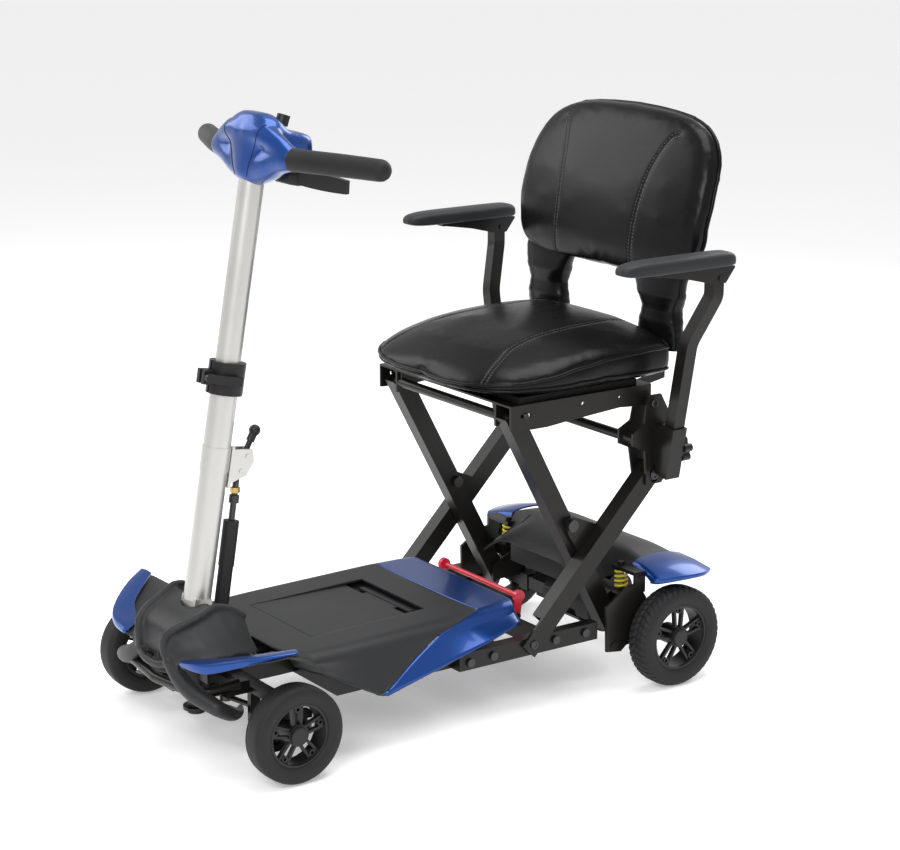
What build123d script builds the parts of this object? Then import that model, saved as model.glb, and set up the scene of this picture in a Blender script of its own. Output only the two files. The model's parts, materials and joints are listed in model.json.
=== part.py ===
"""Folding four-wheel electric mobility scooter, built as separate sub-parts.

Millimetres, +Z up, the rider looks along -Y, +X is the rider's left hand.
The ground is Z = 0. Heights and lengths are measured from the ground and from
the lower hinge of the outer scissor arms; before export everything is moved
along Y so that the origin lies under the middle of the whole scooter.
"""
from math import atan2, cos, degrees, radians, sin
import os

from build123d import *

# ---- clearances and sheet thicknesses -------------------------------------------
RUN = 0.05            # running clearance of a shaft in its bore, on the radius
GAP = 0.5             # side gap between pieces that swing past each other
SEAM = 0.4            # gap between two covers of one body
COVER = 3.0           # wall of the moulded covers
PLATE = 5.0           # steel side plates

# ---- wheels ---------------------------------------------------------------------
FRONT_R, FRONT_TYRE_W, FRONT_FACE_X = 78.0, 41.0, 256.0
REAR_R, REAR_TYRE_W, REAR_FACE_X = 84.5, 46.0, 257.5
FRONT_RIM_R, REAR_RIM_R = 50.0, 55.0
FRONT_AXLE_Y, REAR_AXLE_Y = -445.0, 290.0
FRONT_STUB_X, REAR_STUB_X = FRONT_FACE_X - 12, REAR_FACE_X - 12     # ends of the axle stubs
AXLE_R = 8.0
HUB_R = 17.0
SPOKES = 5

# ---- steering -------------------------------------------------------------------
STEER_Y = -481.0
KINGPIN_X = 178.0
KINGPIN_R = 8.0
STEER_ARM = 45.0          # length of the column arm and of both knuckle arms
ROD_OFFSET = 14.0         # the two tie rods leave the column arm this far off centre
ROD_PIN_R = 4.0
ROD_Z = 66.0
HEAD_TUBE = (92.0, 138.0)
COLUMN_R = 14.0

# ---- tiller ---------------------------------------------------------------------
TILLER_PIVOT = (-480.0, 200.0)
LEAN = 10.0
LOWER_TUBE_R, UPPER_TUBE_R = 21.5, 19.5
LOWER_TUBE_LENGTH = 397.0       # from the pivot along the tube
UPPER_TUBE_LENGTH = 440.0
UPPER_TUBE_END = 693.0          # top of the upper tube, along the tube from the pivot
HEAD_CENTRE = UPPER_TUBE_END + 22
CLAMP_HEIGHT = 50.0
HEAD_LENGTH = 95.0
GRIP_R, HANDLE_R = 17.0, 11.0
GRIP_END = (253.0, -294.0, 908.0)
STRUT_BASE = (-440.0, 165.0)
STRUT_EYE = (-398.0, 424.0)
RELEASE_PIVOT = (-386.0, 446.0)

# ---- chassis --------------------------------------------------------------------
RAIL_X = (174.0, 195.0)
UNDER_RAIL_X = (150.0, 172.0)   # the rails step inwards under the deck's skirts
RAIL_STEP_Y = (-116.0, -92.0)
RAIL_Z = (92.0, 121.0)
RAIL_Y = (-330.0, 160.0)
DECK_REAR_Y = 24.0
DECK_TOP = (163.0, 172.0)       # height at the front and at the rear of the deck
DECK_FRONT_Y = -398.0
BAND_WIDTH = 76.0
LID_HALF_X, LID_Y = 92.0, (-326.0, -146.0)
LID_T = 4.0
SLOT_LENGTH = 34.0
RELEASE_BAR_PIVOT, RELEASE_BAR_TOP = (60.0, 128.0), (64.0, 160.0)

# ---- scissor frame --------------------------------------------------------------
TUBE_W, TUBE_D, TUBE_WALL = 28.0, 32.0, 2.5
ARM_A_X = (144.0, 172.0)
ARM_B_X = (173.5, 201.5)
B_BASE = (26.0, 111.0)
SCISSOR_PIN = (115.0, 290.0)
A_BASE = (204.0, 111.0)
A_TOP = (9.0, 476.0)
B_TOP = (264.0, 357.0)
SCISSOR_PIN_R = 6.0
LINK_PLAY = (2.4, 4.4)          # room round the upper pin in the links' slots: across, and along

# ---- seat -----------------------------------------------------------------------
SEAT_FRAME_X = 187.0
SEAT_FRAME_Y = (-13.0, 270.0)
SEAT_FRAME_TOP = 506.0
SEAT_PIN = (262.0, 478.0)
CUSHION_HALF = 216.0
CUSHION_Y = (-62.0, 294.0)
BOARD_T = 10.0
BACK_HINGE = (318.0, 600.0)
BACK_HALF = 223.0
BACK_T = 54.0
BACK_FRONT = ((288.0, 672.0), (294.0, 766.0), (322.0, 865.0), (344.0, 932.0))   # its front face
BACK_Z = (BACK_FRONT[0][1], BACK_FRONT[-1][1])

# ---- armrests -------------------------------------------------------------------
POST_SIDE = 22.0
SLEEVE_WALL = 3.0
POST_FOOT = (226.0, 277.0, 372.0)
POST_KNEE = (268.0, 277.0, 588.0)
POST_BEND = (293.0, 306.0, 664.0)
POST_TOP = (293.0, 306.0, 695.0)
PAD_LENGTH, PAD_WIDTH, PAD_T = 226.0, 46.0, 24.0
PAD_FRONT_Y = 112.0

# ---- rear unit ------------------------------------------------------------------
SIDE_PLATE_X = (203.0, 208.0)
SWING_PIVOT = (186.0, 78.0)
SWING_X = (196.5, 202.5)
SPRING_X, SPRING_Y = 158.0, 238.0
SPRING_Z = (152.0, 190.0)
SPRING_R, WIRE_R, SPRING_TURNS = 9.5, 2.0, 4
COVER_HALF = 139.0
COVER_FRONT_Y, COVER_REAR_Y = 172.0, 372.0

parts = {}
LOW = (Align.CENTER, Align.CENTER, Align.MIN)


# ---- small helpers --------------------------------------------------------------
def slab(points, x_low, x_high):
    """A plate whose outline lies in the Y-Z plane, between two X positions."""
    face = make_face(Plane.YZ * Polyline(*points, close=True))
    return Pos(x_low, 0, 0) * extrude(face, amount=x_high - x_low, dir=(1, 0, 0))


def yz_face(points, x):
    """A flat face in the Y-Z plane at an X position."""
    return Pos(x, 0, 0) * make_face(Plane.YZ * Polyline(*points, close=True))


def plan(points, z_low, z_high):
    """A plate whose outline lies in the X-Y plane."""
    return Pos(0, 0, z_low) * extrude(make_face(Polyline(*points, close=True)), amount=z_high - z_low)


def box(x, y, z):
    """A box from three (low, high) pairs."""
    size = [high - low for low, high in (x, y, z)]
    middle = [(high + low) / 2 for low, high in (x, y, z)]
    return Pos(*middle) * Box(*size)


def rod(start, end, radius):
    """A round bar between two points."""
    start, end = Vector(*start), Vector(*end)
    run = end - start
    return Plane(origin=start, z_dir=run) * Cylinder(radius, run.length, align=LOW)


def across(x_low, x_high, yz, radius):
    """A round bar along X."""
    return rod((x_low, *yz), (x_high, *yz), radius)


def bar(start, end, x_range, depth, before=0.0, after=0.0):
    """A flat-sided bar along a line in the Y-Z plane, past both its ends."""
    (y0, z0), (y1, z1) = start, end
    angle = atan2(z1 - z0, y1 - y0)
    along, side = (cos(angle), sin(angle)), (-sin(angle), cos(angle))
    length = ((y1 - y0) ** 2 + (z1 - z0) ** 2) ** 0.5

    def point(s, t):
        return (y0 + along[0] * s + side[0] * t, z0 + along[1] * s + side[1] * t)

    half = depth / 2
    corners = [point(-before, -half), point(length + after, -half),
               point(length + after, half), point(-before, half)]
    return slab(corners, *x_range)


def square_tube(start, end, x_range, depth, before=0.0, after=0.0):
    """A square steel tube, open at both ends."""
    inner = (x_range[0] + TUBE_WALL, x_range[1] - TUBE_WALL)
    skin = bar(start, end, x_range, depth, before, after)
    return skin - bar(start, end, inner, depth - 2 * TUBE_WALL, before + 1, after + 1)


def both(shape):
    """The shape and its mirror image on the other side of the scooter."""
    return shape + mirror(shape, about=Plane.YZ)


def far(shape):
    """The mirror image alone."""
    return mirror(shape, about=Plane.YZ)


def plus(yz, angle, length):
    """A point at a distance and angle from another, in the Y-Z plane."""
    return (yz[0] + length * cos(radians(angle)), yz[1] + length * sin(radians(angle)))


def on_tiller(along, behind=0.0):
    """A point beside the tiller's axis: distance from its pivot, and behind it."""
    lean = radians(LEAN)
    y = TILLER_PIVOT[0] + along * sin(lean) + behind * cos(lean)
    return (y, TILLER_PIVOT[1] + along * cos(lean) - behind * sin(lean))


def tiller_place(along):
    """A plane across the tiller at a distance from its pivot."""
    y, z = on_tiller(along)
    lean = radians(LEAN)
    return Plane(origin=(0, y, z), x_dir=(1, 0, 0), z_dir=(0, sin(lean), cos(lean)))


def revolve_x(points, yz):
    """A turned piece about an X axis, from (x, radius) points."""
    outline = make_face(Plane.XZ * Polyline(*points, close=True))
    return Pos(0, *yz) * revolve(outline, axis=Axis.X)


# ---- wheels ---------------------------------------------------------------------
def tyre(radius, width, face_x, rim_r, yz):
    """A solid tyre with rounded shoulders on its rim seat."""
    mid = face_x - width / 2
    half = width / 2
    shoulder = 9.0
    outline = [(mid - half + 4, rim_r), (mid + half - 4, rim_r),
               (mid + half, rim_r + 6), (mid + half, radius - shoulder - 6),
               (mid + half - 3, radius - shoulder), (mid + half - shoulder, radius - 2),
               (mid + half - 2 * shoulder, radius), (mid - half + 2 * shoulder, radius),
               (mid - half + shoulder, radius - 2), (mid - half + 3, radius - shoulder),
               (mid - half, radius - shoulder - 6), (mid - half, rim_r + 6)]
    return revolve_x(outline, yz)


def rim(width, face_x, rim_r, axle_end_x, yz):
    """A cast rim: barrel, five double spokes with bolt bosses, hub and hub cap."""
    outer = face_x - 5
    inner = face_x - width + 4
    barrel = revolve_x([(inner, rim_r - 5), (outer - 4, rim_r - 5), (outer, rim_r - 4),
                        (outer, rim_r), (inner, rim_r)], yz)
    hub = revolve_x([(inner, 0), (outer - 2, 0), (outer - 2, HUB_R), (inner, HUB_R)], yz)
    cap = revolve_x([(outer - 2, 0), (outer + 2.5, 0), (outer + 2.5, HUB_R - 5),
                     (outer + 1, HUB_R - 2.5), (outer - 2, HUB_R - 2)], yz)
    wheel = barrel + hub + cap
    reach = rim_r - 3
    spoke_x = (outer - 13, outer - 5)
    for number in range(SPOKES):
        angle = 360 * number / SPOKES + 90
        for side in (-1, 1):
            foot = plus(yz, angle + side * 22, HUB_R - 2)
            head = plus(yz, angle + side * 10, reach)
            wheel += bar(foot, head, spoke_x, 4.0)
        boss = plus(yz, angle, rim_r - 9.5)
        wheel += across(spoke_x[0], spoke_x[1] + 1, boss, 5.5)
        wheel -= across(spoke_x[1] - 4, spoke_x[1] + 2, boss, 2.6)
    return wheel - across(inner - 1, axle_end_x + 0.4, yz, AXLE_R + RUN)


def wheels():
    """Four tyres and four rims; the front axle stubs end inside the hubs."""
    front, rear = (FRONT_AXLE_Y, FRONT_R), (REAR_AXLE_Y, REAR_R)
    parts["front_tyre_left"] = tyre(FRONT_R, FRONT_TYRE_W, FRONT_FACE_X, FRONT_RIM_R, front)
    parts["rear_tyre_left"] = tyre(REAR_R, REAR_TYRE_W, REAR_FACE_X, REAR_RIM_R, rear)
    parts["front_rim_left"] = rim(FRONT_TYRE_W, FRONT_FACE_X, FRONT_RIM_R, FRONT_STUB_X, front)
    parts["rear_rim_left"] = rim(REAR_TYRE_W, REAR_FACE_X, REAR_RIM_R, REAR_STUB_X, rear)
    for name in ("front_tyre", "rear_tyre", "front_rim", "rear_rim"):
        parts[name + "_right"] = far(parts[name + "_left"])


# ---- steering -------------------------------------------------------------------
def steering():
    """Column with fork and arm, two knuckles with axle stubs, and two tie rods."""
    pivot_y, pivot_z = TILLER_PIVOT
    arm_z = (ROD_Z + 14, HEAD_TUBE[0] - 1)
    shaft = rod((0, STEER_Y, 46), (0, STEER_Y, HEAD_TUBE[1] + 4), COLUMN_R)
    shaft += rod((0, STEER_Y, 52), (0, STEER_Y, 57), COLUMN_R + 7)
    arm = plan([(-14, STEER_Y - 18), (14, STEER_Y - 18), (ROD_OFFSET + 9, STEER_Y + STEER_ARM + 9),
                (-ROD_OFFSET - 9, STEER_Y + STEER_ARM + 9)], *arm_z)
    column = shaft + arm
    for side in (-1, 1):
        pin = (side * ROD_OFFSET, STEER_Y + STEER_ARM)
        column += rod((*pin, ROD_Z - 6), (*pin, arm_z[0]), ROD_PIN_R)
    seat = box((-31, 31), (STEER_Y - 22, STEER_Y + 22), (HEAD_TUBE[1] + 1, HEAD_TUBE[1] + 13))
    ears = both(slab([(pivot_y - 16, HEAD_TUBE[1] + 13), (pivot_y + 20, HEAD_TUBE[1] + 13),
                      (pivot_y + 13, pivot_z + 13), (pivot_y - 13, pivot_z + 13)],
                     LOWER_TUBE_R + 2 * GAP, LOWER_TUBE_R + 2 * GAP + 6))
    strut_ears = both(slab([(STEER_Y + 20, HEAD_TUBE[1] + 1), (STRUT_BASE[0] + 10, STRUT_BASE[1] - 12),
                            (STRUT_BASE[0] + 10, STRUT_BASE[1] + 9), (STEER_Y + 20, STRUT_BASE[1] + 6)],
                           9 + GAP, 9 + GAP + 5))
    column += seat + ears + strut_ears
    column += across(-LOWER_TUBE_R - 9, LOWER_TUBE_R + 9, TILLER_PIVOT, 7)
    column += across(-15, 15, STRUT_BASE, 4)
    parts["steering_column"] = column

    barrel_z = (50, 108)
    kingpin = (KINGPIN_X, FRONT_AXLE_Y)
    knuckle = rod((*kingpin, barrel_z[0]), (*kingpin, barrel_z[1]), 14)
    knuckle += across(KINGPIN_X, FRONT_FACE_X - FRONT_TYRE_W - 2, (FRONT_AXLE_Y, FRONT_R), 12)
    knuckle += across(KINGPIN_X, FRONT_STUB_X, (FRONT_AXLE_Y, FRONT_R), AXLE_R)
    pin = (KINGPIN_X + ROD_OFFSET, FRONT_AXLE_Y + STEER_ARM)
    knuckle += plan([(KINGPIN_X - 9, FRONT_AXLE_Y), (KINGPIN_X + 10, FRONT_AXLE_Y),
                     (pin[0] + 8, pin[1] + 8), (pin[0] - 8, pin[1] + 8)], *arm_z)
    knuckle += rod((*pin, ROD_Z - 6), (*pin, arm_z[0]), ROD_PIN_R)
    knuckle -= rod((*kingpin, barrel_z[0] - 1), (*kingpin, barrel_z[1] + 1), KINGPIN_R + RUN)
    parts["knuckle_left"] = knuckle
    parts["knuckle_right"] = far(knuckle)

    inner = (ROD_OFFSET, STEER_Y + STEER_ARM, ROD_Z)
    outer = (*pin, ROD_Z)
    tie = rod(inner, outer, 4.5)
    for x, y, z in (inner, outer):
        tie += rod((x, y, z - 6), (x, y, z + 6), 10)
    tie -= rod((inner[0], inner[1], ROD_Z - 9), (inner[0], inner[1], ROD_Z + 9), ROD_PIN_R + RUN)
    tie -= rod((outer[0], outer[1], ROD_Z - 9), (outer[0], outer[1], ROD_Z + 9), ROD_PIN_R + 0.4)
    parts["tie_rod_left"] = tie
    parts["tie_rod_right"] = far(tie)


# ---- tiller ---------------------------------------------------------------------
def tiller():
    """Lower and upper tube, height clamp and lever, locking strut and its release."""
    at = tiller_place
    foot = 30.0
    lug = bar(TILLER_PIVOT, on_tiller(foot), (-LOWER_TUBE_R, LOWER_TUBE_R), 30, 15, 4)
    lower = at(foot) * Cylinder(LOWER_TUBE_R, LOWER_TUBE_LENGTH - foot, align=LOW)
    lower += at(233) * Cylinder(LOWER_TUBE_R + 1.2, 38, align=LOW)
    lower -= at(foot + 8) * Cylinder(UPPER_TUBE_R + RUN, LOWER_TUBE_LENGTH, align=LOW)
    lower = lug + lower - across(-40, 40, TILLER_PIVOT, 7 + RUN)
    parts["tiller_lower_tube"] = lower

    upper = at(UPPER_TUBE_END - UPPER_TUBE_LENGTH) * Cylinder(UPPER_TUBE_R, UPPER_TUBE_LENGTH, align=LOW)
    upper -= at(UPPER_TUBE_END - UPPER_TUBE_LENGTH - 1) * Cylinder(
        UPPER_TUBE_R - 2, UPPER_TUBE_LENGTH + 2, align=LOW)
    parts["tiller_upper_tube"] = upper

    clamp_at = LOWER_TUBE_LENGTH - CLAMP_HEIGHT + 6
    collar = at(clamp_at) * Cylinder(LOWER_TUBE_R + 7, CLAMP_HEIGHT, align=LOW)
    ear_y = -(LOWER_TUBE_R + 12)
    for side in (-1, 1):
        collar += at(clamp_at) * Pos(side * 7, ear_y, 14 + 11) * Box(8, 22, 22)
    collar -= at(clamp_at - 1) * Cylinder(LOWER_TUBE_R, CLAMP_HEIGHT - 5, align=LOW)
    collar -= at(clamp_at - 1) * Cylinder(UPPER_TUBE_R + 0.6, CLAMP_HEIGHT + 3, align=LOW)
    collar -= at(clamp_at - 1) * Pos(0, ear_y, CLAMP_HEIGHT / 2) * Box(4, 40, CLAMP_HEIGHT + 4)
    bolt_in = at(clamp_at) * Pos(0, ear_y - 4, 25)
    collar += bolt_in * Rot(0, 90, 0) * Cylinder(3, 34)
    parts["height_clamp"] = collar

    lever = bolt_in * Pos(16, 0, 0) * Rot(0, 90, 0) * Cylinder(7, 8)
    blade = make_face(Polyline((12, 0), (20, -4), (36, 16), (40, 44), (34, 46), (29, 20), close=True))
    lever += at(clamp_at) * Pos(0, ear_y - 4, 18) * extrude(blade, amount=14)
    lever -= bolt_in * Rot(0, 90, 0) * Cylinder(3 + RUN, 42)
    parts["clamp_lever"] = lever

    pull_y, pull_z = RELEASE_PIVOT
    eye_y, eye_z = STRUT_EYE
    web = both(slab([on_tiller(212, 20), on_tiller(236, 21.5), on_tiller(268, 23),
                     (pull_y + 9, pull_z + 10), (pull_y + 11, pull_z - 9),
                     (eye_y + 8, eye_z - 9), (eye_y - 6, eye_z - 12)], 8.5, 12.5))
    base = slab([on_tiller(208, LOWER_TUBE_R - 1), on_tiller(272, LOWER_TUBE_R - 1),
                 on_tiller(272, LOWER_TUBE_R + 4), on_tiller(208, LOWER_TUBE_R + 4)], -12.5, 12.5)
    base -= across(-9, 9, STRUT_EYE, 9 + 2 * GAP)
    bracket = web + base - at(180) * Cylinder(LOWER_TUBE_R + 1.2, 120, align=LOW)
    bracket += across(-14, 14, STRUT_EYE, 4)
    bracket += across(-14, 14, RELEASE_PIVOT, 4)
    parts["release_bracket"] = bracket

    tip = (pull_y + 20, pull_z + 36)
    handle = across(-7, 7, RELEASE_PIVOT, 9)
    handle += rod((0, *RELEASE_PIVOT), (0, *tip), 4.5)
    handle += Pos(0, *tip) * Sphere(9)
    handle += rod((0, pull_y + 11, pull_z + 20), (0, *tip), 6.5)
    parts["release_lever"] = handle - across(-8, 8, RELEASE_PIVOT, 4 + RUN)

    def on_strut(s):
        run = Vector(0, STRUT_EYE[0] - STRUT_BASE[0], STRUT_EYE[1] - STRUT_BASE[1])
        spot = Vector(0, *STRUT_BASE) + run.normalized() * s
        return (spot.X, spot.Y, spot.Z)

    total = ((STRUT_EYE[0] - STRUT_BASE[0]) ** 2 + (STRUT_EYE[1] - STRUT_BASE[1]) ** 2) ** 0.5
    cylinder = rod(on_strut(24), on_strut(178), 11.5) + rod(on_strut(110), on_strut(182), 12.5)
    cylinder += across(-9, 9, STRUT_BASE, 9) + rod(on_strut(0), on_strut(26), 8.5)
    cylinder -= rod(on_strut(40), on_strut(190), 5 + RUN)
    parts["strut_cylinder"] = cylinder - across(-12, 12, STRUT_BASE, 4 + RUN)

    shaft = rod(on_strut(70), on_strut(total - 6), 5)
    shaft += rod(on_strut(total - 52), on_strut(total - 40), 8)
    shaft += across(-7.5, 7.5, STRUT_EYE, 9)
    eye_hole = bar(on_strut(total - 5.5)[1:], on_strut(total + 5.5)[1:], (-10, 10), 10.6)
    parts["strut_rod"] = shaft - eye_hole


def grip_path():
    """Centre line of the left half of the handlebar, swept back to its end."""
    neck = (60.0, *on_tiller(HEAD_CENTRE))
    bend = (110.0, neck[1] + 12, neck[2] + 4)
    return neck, bend, GRIP_END


def tiller_head():
    """Moulded head, handlebar with grips, throttle paddle and speed knob."""
    neck, bend, end = grip_path()
    y, z = on_tiller(HEAD_CENTRE)
    head = loft([at * RectangleRounded(w, d, r) for at, w, d, r in (
        (tiller_place(UPPER_TUBE_END - 12), 48, 50, 18),
        (tiller_place(UPPER_TUBE_END + 8), 74, 62, 20),
        (tiller_place(UPPER_TUBE_END + 34), 116, 84, 24),
        (tiller_place(UPPER_TUBE_END + 60), 108, 80, 26),
        (tiller_place(UPPER_TUBE_END + HEAD_LENGTH - 12), 64, 52, 20))])
    head += both(rod((30, y, z), (76, y + 4, z + 2), 21))
    head -= tiller_place(UPPER_TUBE_END - 20) * Cylinder(UPPER_TUBE_R, 40, align=LOW)
    core = both(rod((0, y, z), (70, y + 3, z + 1), HANDLE_R) + rod((70, y + 3, z + 1), bend, HANDLE_R)
                + rod(bend, end, HANDLE_R))
    core += both(Pos(*bend) * Sphere(HANDLE_R) + Pos(70, y + 3, z + 1) * Sphere(HANDLE_R))
    parts["handlebar"] = core
    sleeve = rod((78, y + 4, z + 2), bend, GRIP_R) + rod(bend, end, GRIP_R)
    sleeve += Pos(*bend) * Sphere(GRIP_R) + Pos(*end) * Sphere(GRIP_R)
    parts["grips"] = both(sleeve) - core
    knob_base = Plane(origin=(28, y + 30, z + 48), z_dir=(0, 0.35, 1))
    boss = knob_base * Pos(0, 0, -22) * Cylinder(17, 22, align=LOW)
    head = head + boss - core - both(sleeve) - knob_base * Cylinder(10.5, 60, align=LOW)
    post = knob_base * Cylinder(4, 5, align=LOW)
    parts["tiller_head"] = head + post
    knob = knob_base * Pos(0, 0, 0.4) * Cylinder(10, 16, align=LOW)
    knob -= knob_base * Cylinder(4 + RUN, 5.4, align=LOW)
    parts["speed_knob"] = knob

    hinge = Vector(60, y + 36, z - 25)
    reach = Vector(96, 30, -8)
    paddle = loft([Plane(origin=hinge, z_dir=reach) * Rectangle(14, 20),
                   Plane(origin=hinge + reach * 0.6, z_dir=reach) * Rectangle(10, 24),
                   Plane(origin=hinge + reach, z_dir=reach) * Rectangle(7, 20)])
    paddle += Pos(*hinge) * Cylinder(8, 16)
    parts["throttle_paddle"] = paddle - Pos(*hinge) * Cylinder(3 + RUN, 20)
    pin = Pos(hinge.X, hinge.Y, hinge.Z + 3) * Cylinder(3, 26)
    pin += Pos(hinge.X, hinge.Y - 6, hinge.Z + 15) * Box(16, 28, 8)
    parts["tiller_head"] += pin + Pos(hinge.X - 8, hinge.Y - 16, hinge.Z + 18) * Box(26, 22, 14)
    parts["tiller_head"] -= core + both(sleeve)


# ---- chassis --------------------------------------------------------------------
def front_frame():
    """Rails, floor pan, cross members, head tube and kingpin brackets."""
    under, rear = UNDER_RAIL_X[0], RAIL_X[0]
    rail = box(RAIL_X, (RAIL_STEP_Y[0], RAIL_Y[1]), RAIL_Z)
    rail += box(UNDER_RAIL_X, (RAIL_Y[0], RAIL_STEP_Y[1]), RAIL_Z)
    rail += box((under, RAIL_X[1]), RAIL_STEP_Y, RAIL_Z)
    frame = both(rail)
    frame += box((-under, under), (RAIL_Y[0], RAIL_STEP_Y[1]), (RAIL_Z[0], RAIL_Z[0] + 3))
    for y, half in ((RAIL_Y[0], under), (-48, rear), (52, rear)):
        frame += box((-half, half), (y, y + 22), (RAIL_Z[0], RAIL_Z[0] + 25))
    spine_y = (STEER_Y + 16, -318)
    frame += both(box((28, 52), spine_y, (RAIL_Z[0] + 4, RAIL_Z[0] + 40)))
    beam = (FRONT_AXLE_Y - 13, FRONT_AXLE_Y + 13)
    upper, lower = (112, 122), (36, 46)
    frame += box((-KINGPIN_X - 16, KINGPIN_X + 16), beam, upper)
    foot = box((120, KINGPIN_X + 16), beam, lower)
    foot += box((120, 130), (beam[0], FRONT_AXLE_Y + 4), (lower[0], upper[1]))
    pin = rod((KINGPIN_X, FRONT_AXLE_Y, lower[0]), (KINGPIN_X, FRONT_AXLE_Y, upper[1]), KINGPIN_R)
    frame += both(foot + pin)
    head = rod((0, STEER_Y, HEAD_TUBE[0]), (0, STEER_Y, HEAD_TUBE[1]), COLUMN_R + 9)
    frame += head + box((-52, 52), (STEER_Y - 8, FRONT_AXLE_Y + 13), (108, 132))
    frame -= rod((0, STEER_Y, HEAD_TUBE[0] - 1), (0, STEER_Y, HEAD_TUBE[1] + 1), COLUMN_R + RUN)
    frame += both(across(RAIL_X[1], 202.5, B_BASE, SCISSOR_PIN_R))
    bar_ear = both(box((96, 102), (RELEASE_BAR_PIVOT[0] - 8, RELEASE_BAR_PIVOT[0] + 8),
                       (RAIL_Z[0] + 20, RELEASE_BAR_PIVOT[1] + 8)))
    frame += bar_ear + both(across(101, 114, RELEASE_BAR_PIVOT, 4))
    parts["front_frame"] = frame

    bolts = [(-96, 104), (-51, 106), (73, 108), (134, 108)]
    heads = [across(RAIL_X[1], RAIL_X[1] + 4.5, spot, 7) for spot in bolts]
    parts["rail_bolts"] = both(sum(heads[1:], heads[0]))
    parts["battery_pack"] = box((-LID_HALF_X + 8, LID_HALF_X - 8), (LID_Y[0] + 20, LID_Y[1] - 8),
                                (RAIL_Z[0] + 3.3, 150))
    bumper_path = FilletPolyline((-132, -478, 132), (-120, -540, 122), (0, -552, 118),
                                 (120, -540, 122), (132, -478, 132), radius=30)
    ring = Plane(origin=(-132, -478, 132), z_dir=(12, -62, -10)) * Circle(8)
    bumper = sweep(ring, path=bumper_path)
    parts["front_bumper"] = bumper + both(box((110, 128), (-500, STEER_Y + 23), (112, 132)))


def deck_top(y):
    """Height of the deck's upper surface at a distance along the scooter."""
    share = (y - DECK_FRONT_Y) / (DECK_REAR_Y - DECK_FRONT_Y)
    return DECK_TOP[0] + (DECK_TOP[1] - DECK_TOP[0]) * share


def deck_section(y, half_top, half_low, z_low, wall):
    """One cross-section of the deck: a flat top with two sloping skirts."""
    top = deck_top(y) - wall
    edge = 12.0
    half_top, half_low = half_top - wall * 0.6, half_low - wall
    return make_face(Plane(origin=(0, y, 0), x_dir=(1, 0, 0), z_dir=(0, -1, 0)) * Polyline(
        (-half_low, z_low), (-half_top, top - edge), (-half_top + edge, top),
        (half_top - edge, top), (half_top, top - edge), (half_low, z_low), close=True))


def deck():
    """Deck shell with its blue rear band, battery lid and red release bar."""
    stations = [(DECK_FRONT_Y, 124, 128, 146), (-372, 168, 190, 146), (-306, 172, 203, 108),
                (-258, 172, 205, 86), (-60, 170, 203, 136), (DECK_REAR_Y, 158, 168, 150)]
    skin = loft([deck_section(*s, 0) for s in stations], ruled=True)
    stations[0] = (DECK_FRONT_Y - 1, *stations[0][1:])
    stations[-1] = (DECK_REAR_Y + 1, *stations[-1][1:])
    hollow = loft([deck_section(y, t, low, z - 6, COVER) for y, t, low, z in stations], ruled=True)
    shell = skin - hollow
    shell -= box((-60, 60), (DECK_FRONT_Y - 2, DECK_FRONT_Y + 26), (100, 200))

    seam_y = DECK_REAR_Y - BAND_WIDTH
    band_zone = slab([(-268, 60), (-268, 94), (seam_y - 8, 171), (seam_y, 200),
                      (DECK_REAR_Y + 20, 200), (DECK_REAR_Y + 20, 60)], -300, 300)
    keep_zone = slab([(-268 - SEAM, 60), (-268 - SEAM, 94 + SEAM), (seam_y - 8 - SEAM, 171 + SEAM),
                      (seam_y - SEAM, 200), (DECK_REAR_Y + 20, 200), (DECK_REAR_Y + 20, 60)], -300, 300)
    parts["deck_band"] = shell & band_zone
    lid_gap = 0.8
    mouth = box((-LID_HALF_X - lid_gap, LID_HALF_X + lid_gap),
                (LID_Y[0] - 2.0, LID_Y[1] + SLOT_LENGTH), (140, 200))
    body = shell - keep_zone - mouth
    ledge_z = deck_top(LID_Y[0]) - LID_T - 5
    ledge = box((-LID_HALF_X - 6, LID_HALF_X + 6), (LID_Y[0] - 6, LID_Y[1] + SLOT_LENGTH + 6),
                (ledge_z - 3, ledge_z))
    ledge -= box((-LID_HALF_X + 7, LID_HALF_X - 7), (LID_Y[0] + 7, LID_Y[1] - 7), (100, 200))
    ledge -= box((-LID_HALF_X + 7, LID_HALF_X - 7), (LID_Y[1] - 1, LID_Y[1] + SLOT_LENGTH - 8), (100, 200))
    rim_wall = box((-LID_HALF_X - 6, LID_HALF_X + 6), (LID_Y[0] - 6, LID_Y[1] + SLOT_LENGTH + 6),
                   (ledge_z - 3, deck_top(LID_Y[0]) - 1))
    rim_wall -= mouth
    hinge = (LID_Y[0] + 4, deck_top(LID_Y[0]) - 4)
    body += ledge + rim_wall
    body -= across(-LID_HALF_X - 4, LID_HALF_X + 4, hinge, 1.6 + RUN)
    parts["deck_shell"] = body

    lid_z = deck_top(LID_Y[0])
    lid = box((-LID_HALF_X, LID_HALF_X), (LID_Y[0], LID_Y[1]), (lid_z - LID_T, lid_z))
    lid += box((-45, 45), (LID_Y[1] - 0.5, LID_Y[1] + 12), (lid_z - LID_T, lid_z - 2))
    lid += across(-LID_HALF_X - 3.5, LID_HALF_X + 3.5, hinge, 1.6)
    lid += across(-LID_HALF_X, LID_HALF_X, hinge, 2.2)
    parts["battery_lid"] = lid

    arm = bar(RELEASE_BAR_PIVOT, RELEASE_BAR_TOP, (104, 110), 12, 8, 0)
    pull = across(-108, 108, RELEASE_BAR_TOP, 4.5) + both(arm + across(103, 111, RELEASE_BAR_TOP, 10))
    pull -= both(across(98, 116, RELEASE_BAR_PIVOT, 4 + RUN))
    parts["release_bar"] = pull


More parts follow.
